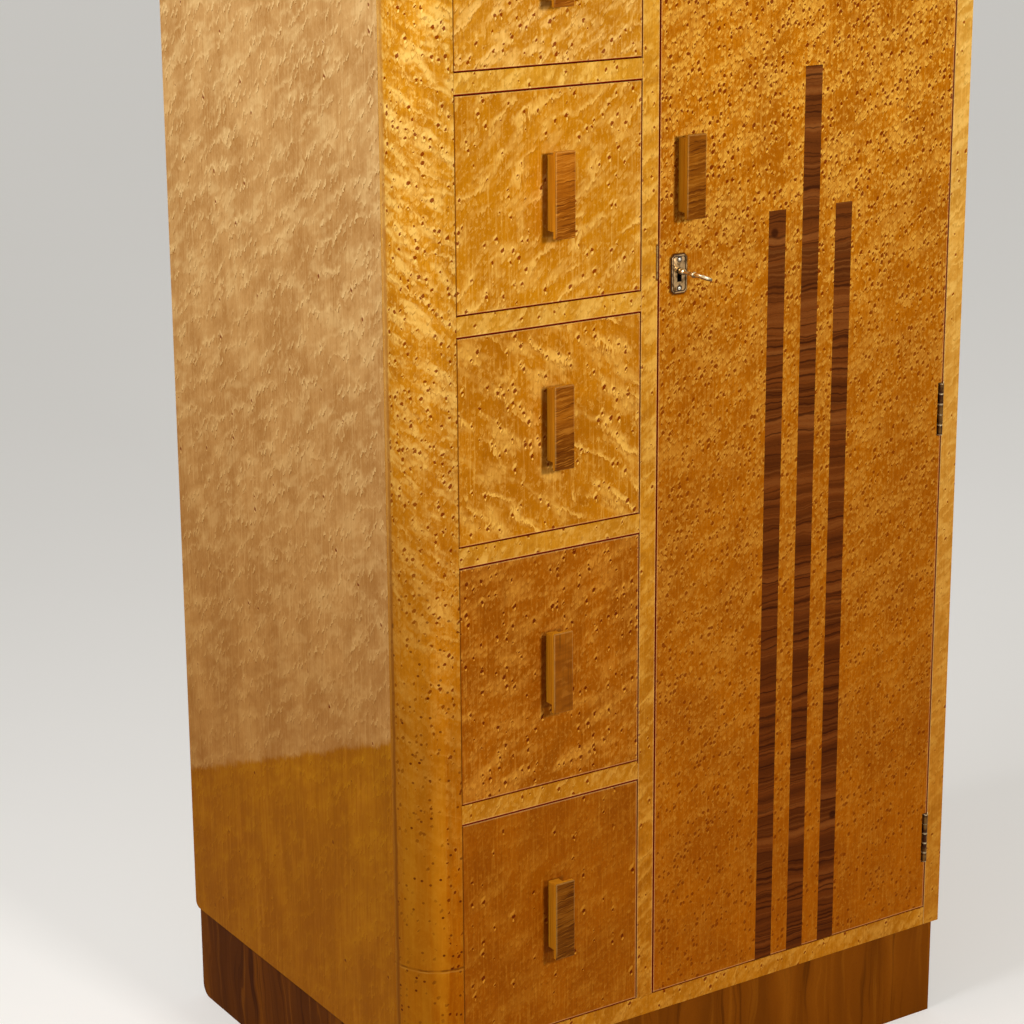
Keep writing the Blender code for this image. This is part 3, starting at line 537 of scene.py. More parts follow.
# The top board: blockboard veneered in birdseye maple along its length, lipped all round, with its front left
# corner rounded over the post. It is screwed down on the sides and the post.
TOP_ARRIS = 0.0012
TOP_TONES = ((0.42, 0.17, 0.016), (0.64, 0.31, 0.035), (0.84, 0.50, 0.12))
top_low, top_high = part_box("top_board")


def quarter_round(radius, steps):
    """How far in and how far along each step of a quarter round lies, as radius * (1 - sine) and (1 - cosine)."""
    turn = np.radians(np.linspace(0, 90, steps + 1))
    return radius * (1 - np.sin(turn)), radius * (1 - np.cos(turn))


def top_outline(shrink):
    """The board's plan, smaller by shrink all round."""
    return np.vstack([arc_points(POST_CENTRE, POST_RADIUS - shrink, 180, 270, 72),
                      [(top_high.x - shrink, top_low.y + shrink), (top_high.x - shrink, top_high.y - shrink),
                       (top_low.x + shrink, top_high.y - shrink)]])


def top_marks(start, across, along, colour):
    """A dark line of painted shade along the board's lower edge, where it sits on the carcass, with a painted
    highlight above it.
    """
    return edge_shade_and_highlight(colour, (start.place()[2] - top_low.z, 0.0011))


shrinks, rises = quarter_round(TOP_ARRIS, 4)
top = lofted("top_board_veneered",
             stacked([top_outline(shrink) for shrink in (*shrinks, *shrinks[::-1])],
                     (*(top_low.z + rises), *(top_high.z - rises[::-1]))))
map_by_faces(top, lambda x, y, z, normal: np.where(abs(normal[2]) > 0.6, y, z),
             lambda x, y, z, normal: np.where(abs(normal[0]) > 0.72, y, x))
piece(top, "carcass", "birdseye_maple",
      birdseye("top_maple", "UV", 43.0, TOP_TONES, (0.024, 55, 0.5, 0.4), (0.0085, 75, 0.6, 0.6, 0.20, 0),
               (0.0120, 0.15, 0.65, 0.0011), 0.3, top_marks), "top_board")

# The drawer rails, the partition and the bottom board: softwood and ply, edged in front with paler maple that
# carries a soft curl. What lies behind the edging is plain timber, seen when a drawer or the door is open.
RAIL_TONES = ((0.46, 0.175, 0.008), (0.71, 0.32, 0.018), (0.92, 0.55, 0.12))
PARTITION_TONES = ((0.43, 0.155, 0.006), (0.66, 0.28, 0.014), (0.86, 0.48, 0.085))
EDGING = 0.0015
FRONT_FACE = -0.2525
BOARD_TONE = (0.50, 0.33, 0.16)
# Dark red-brown on the faces just behind the front, seen only in the gaps: polish stain and painted gap shade.
EDGE_STAIN_AND_SHADE = (0.20, 0.012, 0.001)
LIP_MIDDLE, LIP_HALF = 1.0163, 0.0182
RAILS = [f"drawer_frame_{number}" for number in range(1, 5)]
partition_low, partition_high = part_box("partition")


def behind_edging(across, along, y, colour):
    """Plain pale timber behind the thin edging, dark for its first millimetres with polish stain and painted gap
    shade.
    """
    streaks = cloud(across, along, 6.1, 0.0025, 0.10).step(0.3, 0.7)
    plain = streaks.mix(BOARD_TONE, scaled(BOARD_TONE, 0.8))
    plain = y.step(FRONT_FACE + 0.010, FRONT_FACE + 0.004).mix(plain, EDGE_STAIN_AND_SHADE)
    return y.step(FRONT_FACE + EDGING, FRONT_FACE + EDGING + 0.0002).mix(colour, plain)


def rail_marks(start, across, along, colour):
    """Each rail's edges: a painted highlight along both, and a dark line of painted gap shade along the lower one."""
    x, y, z = start.place()
    for node in RAILS:
        low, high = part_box(node)
        colour = edge_shade_and_highlight(colour, (abs(z - high.z), 0), (abs(z - low.z), 0.0014))
    return behind_edging(y + z, x, y, colour)


def partition_marks(start, across, along, colour):
    """The partition's edges: a painted highlight along both, a dark line of painted gap shade on the door's side, and
    darker round the strike.
    """
    x, y, z = start.place()
    colour = edge_shade_and_highlight(colour, (x - partition_low.x, 0), (partition_high.x - x, 0.0009))
    # Darker round the strike lip.
    darker_round_strike = abs(z - LIP_MIDDLE).step(LIP_HALF + 0.0030, LIP_HALF + 0.0012)
    darker_round_strike = darker_round_strike * (partition_high.x - x).step(0.0036, 0.0029)
    colour = (darker_round_strike * 0.85).mix(colour, (0.10, 0.022, 0.003))
    return behind_edging(across, along, y, colour)


dress(birdseye("rail_maple", "Z", 51.0, RAIL_TONES, (0.024, 48, 0.70, 0.45), (0.008, 70, 0.5, 0.5, 0.20, 0),
               (0.0110, 0.12, 0.60, 0.0012), 0.42, rail_marks, 0.75), "bottom_board", *RAILS)
dress(birdseye("partition_maple", "Z", 57.0, PARTITION_TONES, (0.026, 35, 0.70, 0.75), (0.008, 75, 0.5, 0.5, 0.20, 0),
               (0.0120, 0.10, 0.50, 0.0010), 0.40, partition_marks, 0.75), "partition")

# The plinth: three walnut-veneered boards, grain upright, set back under the carcass. The front one turns the
# rounded corner, so it is made as one bent board.
PLINTH_RADIUS = 0.0495
PLINTH_WALL = 0.019
PLINTH_TONES = ((0.085, 0.020, 0.0006), (0.210, 0.053, 0.0014), (0.31, 0.093, 0.004))
STRIPE_TONES = ((0.030, 0.0062, 0.0016), (0.185, 0.047, 0.0065), (0.31, 0.108, 0.022))
FLANK_TONES = ((0.034, 0.0064, 0.0002), (0.118, 0.0285, 0.0003), (0.265, 0.074, 0.001))


def walnut(name, grain, seed, tones, cathedral, line_width, lean=0.0, gloss=0.012, knots=0.0, deepen=0.0,
           sway=(0.05, 0.16)):
    """Lacquered walnut: wavy growth lines along the grain, broad light and dark bands, pores and a few knots.

    cathedral is how far the lines wander, in metres, over spots of the size of sway, and line_width their spacing.
    lean turns the grain by so many degrees, gloss is how strong its clear coat is, knots the spacing of its knots
    and deepen how much darker and more amber it grows towards the foot, partly a deeper polish and partly painted
    shade of the light falling off towards the floor.
    """
    material, start = new_material(name)
    across, along = grained(start, grain)
    along, across = turned_to(along, across, lean)
    dark, middle, bright = tones
    wander = (cloud(across, along, seed + 2.3, *sway, 2.0) - 0.5) * cathedral
    lines = cloud(across + wander, along, seed + 4.1, line_width, 0.35, 3.0)
    bands = cloud(across + wander, along, seed + 6.9, 5 * line_width, 0.5, 1.0)
    pores = cloud(across, along, seed + 8.8, 0.00035, 0.0045, 1.0).step(0.62, 0.72)
    colour = layered(bands.step(0.30, 0.68).mix(halfway(dark, middle), middle),
                     (bands.step(0.55, 0.80) * 0.7, bright), (lines.step(0.52, 0.68) * 0.75, dark),
                     (lines.step(0.45, 0.30) * 0.35, bright), (pores * 0.5, dark))
    if knots:
        place = across.add("CombineXYZ", {}, {"X": across * (1 / knots) + seed, "Y": along * (1 / knots)})
        heart = place.add("TexVoronoi", {"voronoi_dimensions": "2D"}, {"Vector": place, "Scale": 1.0}, "Distance")
        colour = (heart.step(0.045, 0.018) * 0.8).mix(colour, dark)
    # Darker and more amber towards the foot: partly a deeper polish, partly painted shade of the light falling off
    # towards the floor.
    if deepen:
        depth = start.place()[2].step(1.20, 0.50) * deepen
        colour = depth.mix(colour, depth.multiply(colour, AMBER))
    return finish_with(material, lines * 0.4 - pores * 0.6, 0.12, Base_Color=colour, Roughness=0.42 + lines * 0.14,
                       Specular_IOR_Level=0.01, Coat_Weight=gloss, Coat_Roughness=0.18)


plinth_walnut = walnut("plinth_walnut", "UV", 3.0, PLINTH_TONES, 0.045, 0.010)
flank_walnut = walnut("plinth_side_walnut", "Z", 17.0, FLANK_TONES, 0.06, 0.010, 4.0, 0.0)
plinth_low, plinth_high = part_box("plinth_front")
plinth_outline = np.vstack([arc_points(POST_CENTRE, PLINTH_RADIUS, 180, 270, 60),
                            [(plinth_high.x, plinth_low.y), (plinth_high.x, plinth_low.y + PLINTH_WALL)],
                            arc_points(POST_CENTRE, PLINTH_RADIUS - PLINTH_WALL, 270, 180, 60)])
plinth = lofted("plinth_front_bent", stacked([plinth_outline] * 2, (plinth_low.z, plinth_high.z)))
map_by_faces(plinth, lambda x, y, z, normal: np.where(
    x > POST_CENTRE[0], x - POST_CENTRE[0], round_the_post(x, y, PLINTH_RADIUS) + PLINTH_RADIUS * math.pi / 2),
    lambda x, y, z, normal: z)
piece(plinth, "carcass", "walnut", plinth_walnut, "plinth_front")
dress(flank_walnut, "plinth_left", "plinth_right")

# The back: a sheet of thin ply, grain upright, let in between the sides and held by steel panel pins, which are
# set a little way in from its edge all round.
PLY_TONE = (0.50, 0.33, 0.17)
PIN_RADIUS = 0.0013
PIN_RISE = 0.0006


def plain_timber(name, grain, seed, tone, line_width, contrast, roughness):
    """Bare or thinly polished timber: soft streaks along the grain, short open pores and a slight tooth."""
    material, start = new_material(name)
    across, along = grained(start, grain)
    wander = (cloud(across, along, seed + 1.2, 0.08, 0.3, 1.0) - 0.5) * 0.05
    streaks = cloud(across + wander, along, seed + 2.7, line_width, 0.30, 3.0)
    pores = cloud(across, along, seed + 5.5, 0.0004, 0.006, 1.0).step(0.60, 0.70)
    colour = layered(streaks.step(0.35, 0.65).mix(scaled(tone, 1 + 0.4 * contrast), tone),
                     (streaks.step(0.55, 0.75), scaled(tone, 1 - contrast)), (pores * 0.55, scaled(tone, 0.45)))
    return finish_with(material, streaks * 0.4 - pores * 0.5, 0.2, Base_Color=colour,
                       Roughness=roughness + streaks * 0.12)


dress(plain_timber("back_ply", "Z", 61.0, PLY_TONE, 0.009, 0.24, 0.55), "back_panel")


def metal(name, tone, tarnish, roughness, spread=0.5):
    """Old polished metal: its tone, and duller tarnish in patches, less of it the larger spread is."""
    material, start = new_material(name)
    x, y, z = start.place()
    patches = cloud(x + y, z, 0.7, 0.006, 0.006, 3.0)
    fine = cloud(x - y, z, 1.9, 0.0012, 0.0012)
    dulled = (patches + (fine - 0.5) * 0.35).step(spread - 0.12, spread + 0.16)
    colour = dulled.mix(tone, tarnish)
    return finish_with(material, fine, 0.08, 0.0002, Base_Color=colour, Metallic=1.0 - dulled * 0.25,
                       Roughness=roughness + dulled * 0.30)


brass = metal("aged_brass", (0.66, 0.46, 0.17), (0.42, 0.27, 0.095), 0.26)
nickel = metal("rubbed_nickel", (0.80, 0.74, 0.60), (0.34, 0.28, 0.19), 0.20, 0.60)
steel = metal("dull_steel", (0.52, 0.51, 0.49), (0.33, 0.31, 0.29), 0.26, 0.60)
DOME_RINGS = np.radians(np.linspace(0, 90, 5)[1:])


def turned(name, profile, centre, axis, sides=32):
    """A turned piece: each (distance, radius) of the profile is a circle about the axis through the centre."""
    profile = np.asarray(profile, float)
    turn = np.linspace(0, 2 * np.pi, sides, endpoint=False)
    along = np.repeat(profile[:, 0:1], sides, axis=1)
    first, second = profile[:, 1:] * np.cos(turn), profile[:, 1:] * np.sin(turn)
    order = {"X": (along, first, second), "Y": (first, along, second), "Z": (first, second, along)}[axis]
    return lofted(name, np.stack(order, -1) + np.asarray(centre, float))


def together(name, pieces):
    """One object from several closed ones."""
    points, faces, count = [], [], 0
    for part in pieces:
        mesh = part.data
        points.append(taken(mesh.vertices, "co", 3))
        faces += [[count + corner for corner in face.vertices] for face in mesh.polygons]
        count += len(mesh.vertices)
        bpy.data.objects.remove(part)
    return skin(name, np.vstack(points), faces)


def pins(name, places, axis, toward, radius, rise, slot, material, body):
    """Round heads on a face: a flat disc with a domed crown, at each place, facing toward + or - along axis."""
    profile = [(0.0, radius)] + [(toward * rise * math.sin(turn), radius * (math.cos(turn) + 0.02))
                                 for turn in DOME_RINGS]
    made = together(name, [turned(name, profile, place, axis, 12) for place in places])
    return piece(made, body, slot, material)


back_low, back_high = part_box("back_panel")
PIN_INSET = 0.012
pin_x = np.linspace(back_low.x + PIN_INSET, back_high.x - PIN_INSET, 8)
pin_z = np.linspace(back_low.z + PIN_INSET, back_high.z - PIN_INSET, 13)
pin_places = [(x, back_high.y - PIN_RISE, z) for x in pin_x for z in (pin_z[0], pin_z[-1])]
pin_places += [(x, back_high.y - PIN_RISE, z) for z in pin_z[1:-1] for x in (pin_x[0], pin_x[-1])]
pins("back_panel_pins", pin_places, "Y", 1, PIN_RADIUS, PIN_RISE, "steel", steel, "carcass")

# The five drawers: solid fronts veneered in birdseye maple, each sheet with its own figure, on oak boxes whose
# sides are dovetailed into the front. The fronts are lacquered and the boxes are thinly polished.
# The fronts' tones grow darker from the top drawer to the bottom one: partly the veneers' own tones, partly painted
# shade of the light falling off towards the floor.
DRAWER_FIGURES = {
    1: (((0.42, 0.135, 0.003), (0.65, 0.265, 0.011), (0.93, 0.55, 0.14)),
        (0.023, 36, 0.80, 0.50), (0.0080, 70, 0.7, 0.7, 0.20, 0), (0.0098, 0.14, 0.82, 0.00118), 0.42),
    2: (((0.40, 0.125, 0.002), (0.60, 0.225, 0.004), (0.90, 0.52, 0.11)),
        (0.029, 40, 0.74, 0.32), (0.0090, 70, 0.4, 0.4, 0.20, 0), (0.0105, 0.06, 0.74, 0.00122), 0.38),
    3: (((0.33, 0.094, 0.001), (0.53, 0.180, 0.003), (0.88, 0.48, 0.085)),
        (0.033, -36, 0.88, 0.40), (0.0090, 100, 0.4, 0.4, 0.20, 0), (0.0105, 0.06, 0.78, 0.00124), 0.36),
    4: (((0.22, 0.051, 0.001), (0.37, 0.094, 0.001), (0.66, 0.28, 0.030)),
        (0.032, 25, 0.40, 0.30), (0.0070, 65, 0.5, 0.5, 0.20, 0), (0.0098, 0.26, 0.60, 0.00130), 0.40),
    5: (((0.21, 0.046, 0.001), (0.325, 0.079, 0.001), (0.56, 0.22, 0.016)),
        (0.036, 25, 0.15, 0.16), (0.0070, 65, 0.3, 0.4, 0.20, 0), (0.0135, 0.12, 0.30, 0.00130), 0.28),
}
OAK_TONE = (0.42, 0.26, 0.115)
TAIL_PITCH = 0.034
TAIL_FLARE = 4.5
FRONT_THICKNESS = 0.019
LAP = 0.0065


def middle_of(low, high):
    """The middle of a box and half its size, each as three numbers."""
    return (np.add(low, high) / 2).tolist(), (np.subtract(high, low) / 2).tolist()


def pull_shadow(x, z, low, high, colour):
    """Painted shadow of a pull on the wood behind it, reaching a little past its sides and foot."""
    middle, half = middle_of(low, high)
    aside, height = abs(x - middle[0]) - half[0], abs(z - middle[2] + 0.0025) - half[2] + 0.0025
    outward = x.math("MAXIMUM", aside, height)
    return (outward.step(0.0022, -0.0010) * 0.55).mix(colour, (0.105, 0.022, 0.001))


def front_marks(low, high, pull):
    """Oak tails let into the ends of the front, behind its lap; a painted shadow round the pull; and round the
    veneer's edge painted gap shade and a painted highlight.
    """
    def marks(start, across, along, colour):
        x, y, z = start.place()
        middle_x, half_x = (part[0] for part in middle_of(low, high))
        colour = edge_shade_and_highlight(pull_shadow(x, z, *pull, colour), (high.z - z, 0), (z - low.z, 0.0013), (high.x - x, 0.0011))
        # Painted gap shade along the front's left edge.
        colour = ((x - low.x).step(0.0012, 0.0004) * 0.65).mix(colour, (0.26, 0.065, 0.004))
        behind = y.step(FRONT_FACE + 0.0009, FRONT_FACE + 0.0011)
        streaks = cloud(x + z, y, 12.2, 0.003, 0.05).step(0.3, 0.7)
        # Behind the face the left end is painted pale, as painted light on it in the gap by the post; the other faces
        # there are dark with polish stain and painted gap shade.
        painted_edge_tone = x.step(middle_x - 0.01, middle_x + 0.01).mix((0.80, 0.40, 0.07), EDGE_STAIN_AND_SHADE)
        painted_edge_tone = abs(x - middle_x).step(half_x - 0.001, half_x - 0.0005).mix(EDGE_STAIN_AND_SHADE, painted_edge_tone)
        behind_tone = y.step(FRONT_FACE + 0.010, FRONT_FACE + 0.004).mix(
            streaks.mix((0.44, 0.27, 0.12), (0.36, 0.21, 0.09)), painted_edge_tone)
        from_tail = abs(((z - low.z) * (1 / TAIL_PITCH)).fraction() - 0.5) - (
            FRONT_FACE + FRONT_THICKNESS - y) * TAIL_FLARE
        ends = abs(x - middle_x).step(half_x - 0.0008, half_x - 0.0004)
        ends = ends * y.step(FRONT_FACE + LAP, FRONT_FACE + LAP + 0.0002)
        end_grain = cloud(z, y, 3.3, 0.0015, 0.05).step(0.3, 0.7).mix(OAK_TONE, scaled(OAK_TONE, 0.75))
        return layered(colour, (behind, behind_tone), (from_tail.step(0.285, 0.275) * ends, end_grain),
                       (line_at(from_tail, 0.28, 0.02) * ends * 0.8, (0.07, 0.035, 0.012)))
    return marks


oak_side = plain_timber("drawer_side_oak", "Y", 71.0, OAK_TONE, 0.006, 0.40, 0.48)
oak_back = plain_timber("drawer_back_oak", "X", 77.0, OAK_TONE, 0.006, 0.40, 0.50)
bottom_ply = plain_timber("drawer_bottom_ply", "X", 83.0, (0.52, 0.37, 0.20), 0.010, 0.28, 0.55)
for number, looks in DRAWER_FIGURES.items():
    marks = front_marks(*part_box(f"drawer_{number}_front"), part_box(f"drawer_{number}_pull"))
    dress(birdseye(f"drawer_{number}_maple", "Z", 100.0 + 9.7 * number, *looks, marks), f"drawer_{number}_front")
    dress(oak_side, f"drawer_{number}_side_left", f"drawer_{number}_side_right")
    dress(oak_back, f"drawer_{number}_back")
    dress(bottom_ply, f"drawer_{number}_bottom")

# The pulls, one to each drawer and one to the door: a walnut block with a thin face of cross-grained veneer,
# standing off the wood on a narrower stem. A small cove is worked where the stem meets the plate.
PULL_INSET = 0.0056
PULL_PLATE = 0.0055
PULL_COVE = 0.0024
PULL_CORNER = 0.0012
PULL_BACK_ARRIS = 0.0006
PULL_FRONT_ARRIS = 0.0011
PULL_FACE = 0.0010
STEM_TONES = ((0.47, 0.190, 0.008), (0.36, 0.125, 0.004))
FACE_TONES = ((0.24, 0.061, 0.002), (0.36, 0.104, 0.004), (0.115, 0.026, 0.001), (0.085, 0.016, 0.001),
              (0.46, 0.162, 0.014), (0.12, 0.036, 0.002))


def rounded_rectangle(half_width, half_height, corner, steps=6):
    """Points round a rectangle whose corners are quarter circles of the corner radius."""
    spans = [arc_points((side * (half_width - corner), rise * (half_height - corner)), corner, start, start + 90,
                        steps)
             for side, rise, start in ((1, 1, 0), (-1, 1, 90), (-1, -1, 180), (1, -1, 270))]
    return np.vstack(spans)


def square_to(axis, depth, outline, middle):
    """A flat outline about a middle point, stood square to an axis at this depth along it."""
    ring = np.insert(outline, axis, 0.0, axis=1) + middle
    ring[:, axis] = depth
    return ring


def pull_rings(low, high):
    """Rounded rectangles from the wood forward: the stem, the cove out to the plate, the plate, its arrises."""
    middle, half = middle_of(low, high)
    plate_back = low.y + PULL_PLATE
    steps = [(high.y, PULL_INSET, PULL_CORNER)]
    steps += [(plate_back + back, PULL_INSET - out, PULL_CORNER + 0.4 * out)
              for back, out in zip(*quarter_round(PULL_COVE, 6))]
    steps += [(plate_back - forward, shrink, PULL_CORNER)
              for shrink, forward in zip(*quarter_round(PULL_BACK_ARRIS, 3))]
    steps += [(low.y + back, shrink, PULL_CORNER) for back, shrink in zip(*quarter_round(PULL_FRONT_ARRIS, 6))]
    return [square_to(1, y, rounded_rectangle(half[0] - inset, half[2] - inset, corner), middle)
            for y, inset, corner in steps]


def pull_walnut(name, seed, low, high, darker_foot, cross, stem_light, face_light):
    """Straight-grained tan walnut, with a face of darker veneer whose grain mostly runs across the pull.

    darker_foot is how dark the face grows to its foot, cross says that its grain is fine and runs across, and
    stem_light and face_light are how light the two are on this pull.
    """
    material, start = new_material(name)
    middle, half = middle_of(low, high)
    x, y, z = start.place()
    upright = cloud(x + y, z, seed, 0.0022, 0.08, 3.0)
    colour = upright.step(0.3, 0.7).mix(*(scaled(tone, stem_light) for tone in STEM_TONES))
    dark, light, foot_tone, line_tone, glint_tone, strand_tone = (scaled(tone, face_light) for tone in FACE_TONES)
    tilt = z - x * 0.13 + (cloud(x, z, seed + 7.3, 0.008, 0.012, 1.5) - 0.5) * 0.0045
    lines = cloud(tilt, x, seed + 2.0, 0.0014 if cross else 0.012, 0.03 if cross else 0.02, 3.0)
    strands = cloud(x, z, seed + 6.0, 0.0018, 0.10)
    foot = ((z - low.z) * (1 / (high.z - low.z))).step(0.62, 0.12)
    aside = abs(x - middle[0]) - half[0]
    reach = aside.math("MAXIMUM", aside, abs(z - middle[2]) - half[2])
    # A painted highlight round the face's rim, strongest at its upper left.
    lit_upper_left = (z - low.z - (x - low.x) * 1.6).step(0.0, 0.01)
    face = layered(cloud(tilt, x, seed + 4.0, 0.011, 0.08).step(0.32, 0.68).mix(dark, light),
                   (foot * darker_foot, foot_tone),
                   (lines.step(0.52, 0.66) * (0.75 if cross else 0.2), line_tone),
                   (lines.step(0.46, 0.34) * (0.75 if cross else 0.4), glint_tone),
                   (strands.step(0.5, 0.75) * (0.15 if cross else 0.55), strand_tone),
                   (reach.step(-0.0018, -0.0006) * (lit_upper_left * 0.22 + 0.05), (0.66, 0.36, 0.090)))
    colour = layered(colour, (y.step(low.y + PULL_FACE, low.y + PULL_FACE - 0.0001), face),
                     (line_at(y, low.y + PULL_FACE, 0.0003) * 0.7, (0.05, 0.015, 0.003)))
    return finish_with(material, lines * 0.5 + upright * 0.4, 0.15, Base_Color=colour,
                       Roughness=0.40 + upright * 0.16, Specular_IOR_Level=0.02, Coat_Weight=0.015,
                       Coat_Roughness=0.18)


PULLS = {"drawer_1": (0.3, True, 1.10, 1.15), "drawer_2": (0.45, True, 1.40, 1.24),
         "drawer_3": (0.8, True, 1.13, 0.96), "drawer_4": (0.2, False, 1.24, 0.92),
         "drawer_5": (0.4, True, 1.28, 0.60), "door": (0.2, True, 0.98, 0.80)}
for number, (body, looks) in enumerate(PULLS.items()):
    low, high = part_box(f"{body}_pull")
    piece(lofted(f"{body}_pull_coved", pull_rings(low, high)), body, "walnut_pull",
          pull_walnut(f"{body}_pull_walnut", 5.0 + 3.7 * number, low, high, *looks), f"{body}_pull")

# The door: blockboard veneered in one lively sheet of birdseye maple, dense at the top and calmer at the foot,
# with three stripes of cross-grained walnut let in flush from the foot up.
DOOR_TONES = ((0.31, 0.077, 0.001), (0.55, 0.174, 0.002), (0.86, 0.445, 0.060))
BED_GAP = 0.0003
KEY_AXIS = (-0.0381, 1.0039)
PLATE_HALVES = (0.0105, 0.0215)
PLATE_CLIP = 0.0035
PLATE_DROP = 0.0030
# How far the painted shadow round the escutcheon lies to the left of it and below it.
PLATE_SHADOW_OFFSET = (0.0008, 0.0004)
door_low, door_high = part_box("door_panel")


def door_marks(start, across, along, colour):
    """The lively figure dies away to plain amber down to the foot, and the door's inner face is plain."""
    x, y, z = start.place()
    calmer = (z + cloud(across, along, 8.1, 0.12, 0.2) * 0.4).step(1.42, 0.92)
    colour = (calmer * (z.step(0.30, 0.72) * 0.18 + 0.20)).mix(colour, (0.318, 0.082, 0.001))
    # Painted shadow round the pull, and along the door's edges painted gap shade with a painted highlight.
    colour = edge_shade_and_highlight(pull_shadow(x, z, *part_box("door_pull"), colour), (x - door_low.x, 0.0008), (door_high.x - x, 0.0016),
                  (door_high.z - z, 0.0006), (z - door_low.z, 0.0011))
    beside, above = abs(x - KEY_AXIS[0]), z - KEY_AXIS[1]
    # A painted shadow round the escutcheon, shifted a little left and down.
    aside, height = abs(x - KEY_AXIS[0] + PLATE_SHADOW_OFFSET[0]), abs(above + PLATE_DROP + PLATE_SHADOW_OFFSET[1])
    outward = aside.math("MAXIMUM", aside - PLATE_HALVES[0], height - PLATE_HALVES[1])
    outward = aside.math("MAXIMUM", outward, (aside + height - sum(PLATE_HALVES) + PLATE_CLIP) * math.sqrt(0.5))
    colour = (outward.step(0.0030, 0.0006) * 0.85).mix(colour, (0.055, 0.010, 0.001))
    # Painted shade: near black on the door behind the escutcheon's keyhole.
    hole = beside.step(0.0048, 0.0042) * abs(above + 0.0040).step(0.0098, 0.0090)
    colour = plain_inside(across, along, colour, y.step(FRONT_FACE + 0.0010, FRONT_FACE + 0.0014))
    return hole.mix(colour, (0.006, 0.003, 0.002))


dress(birdseye("door_maple", "Z", 200.0, DOOR_TONES, (0.030, 30, 0.32, 0.36), (0.0064, 74, 1.0, 1.0, 0.24, 0),
               (0.0072, 0.15, 0.82, 0.00130), 0.78, door_marks, 0.72, (0.12, 0.78, 0.72)), "door_panel")
stripe_walnut = walnut("stripe_walnut", "X", 29.0, STRIPE_TONES, 0.010, 0.0032, -1.0, knots=0.16, deepen=0.55,
                        sway=(0.025, 0.030))
for side in ("left", "centre", "right"):
    low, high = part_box(f"inlay_{side}")
    middle, half = middle_of(low, high + Vector((0, 0, BED_GAP)))
    outline = rounded_rectangle(half[0] + BED_GAP, half[2], 0.0002, 2)
    rings = [square_to(1, y, outline, middle) for y in (low.y, high.y)]
    piece(lofted(f"stripe_{side}", rings, smooth=False), "door", "walnut", stripe_walnut, f"inlay_{side}")

# The hinges: three 2 1/2 inch brass butts of five knuckles, let into the door's edge and screwed to the side.
# The door's leaf keeps the first, third and last knuckle, and the carcass leaf holds the pin.
HINGE_AXIS = (0.3521, -0.2530)
KNUCKLE_RADIUS = 0.0029
KNUCKLE_GAP = 0.00015
KNUCKLE_ARRIS = 0.0004
LEAF_THICKNESS = 0.0018
LEAF_END = HINGE_AXIS[1] + 0.0175
LEAF_START = HINGE_AXIS[1] + KNUCKLE_RADIUS + 0.0004
SCREW_RADIUS = 0.0026
SCREW_RISE = 0.00035
SCREW_STEPS = ((0.0, 1.0), (0.6 * SCREW_RISE, 1.0), (SCREW_RISE, 0.93))
SCREW_SLOT = 0.0006


def barrel(low, high):
    """Distances and radii of one knuckle: its length, with a quarter-round arris at each end."""
    fall, inset = quarter_round(KNUCKLE_ARRIS, 3)
    return [*zip(low + inset, KNUCKLE_RADIUS - fall), *zip(high - inset[::-1], KNUCKLE_RADIUS - fall[::-1])]


def plate(name, low, high, axis, arris=0.0002):
    """A flat plate between two corners, its outline rounded and its faces eased, lofted through its thickness."""
    middle, half = middle_of(low, high)
    width, height = half[:axis] + half[axis + 1:]
    steps = ((low[axis], arris), (low[axis] + arris, 0), (high[axis] - arris, 0), (high[axis], arris))
    return lofted(name, [square_to(axis, depth, rounded_rectangle(width - shrink, height - shrink, 3 * arris), middle)
                         for depth, shrink in steps])


def slotted_heads(name, places, axis, toward, tilt=0.6):
    """Countersunk screw heads: for each, two low half discs either side of the slot, lofted from the face out.

    The outline of a half disc is the arc where the circle lies beyond half the slot's width.
    """
    spread = math.asin(SCREW_SLOT / 2 / SCREW_RADIUS)
    heads = []
    for index, place in enumerate(places):
        lean = tilt + 1.9 * index
        for half in (0, math.pi):
            turn = np.linspace(half + spread, half + math.pi - spread, 14) + lean
            flat = np.stack([np.cos(turn), np.sin(turn)], -1) * SCREW_RADIUS
            heads.append(lofted(name, [np.insert(flat * share, axis, toward * height, axis=1) + np.asarray(place)
                                       for height, share in SCREW_STEPS]))
    return together(name, heads)


def butt_brass(end, foot, knuckle):
    """Browned brass, bright in rings where one knuckle turns on the next: partly rubbed brass, partly a painted
    highlight.
    """
    material, start = new_material(f"butt_brass_{end}")
    x, y, z = start.place()
    patches = cloud(x + y, z, 2.7, 0.004, 0.010, 3.0)
    place = (z - foot) * (1 / knuckle) + 0.5
    ring = abs(place.fraction() - 0.5).step(0.10, 0.045) * patches.step(0.38, 0.52)
    colour = layered((0.15, 0.075, 0.018), (patches.step(0.40, 0.62), (0.040, 0.012, 0.004)),
                     (ring * 0.8, (0.60, 0.47, 0.26)))
    return finish_with(material, patches, 0.08, 0.0002, Base_Color=colour, Metallic=0.9 - ring * 0.2,
                       Roughness=0.32 + patches * 0.20)


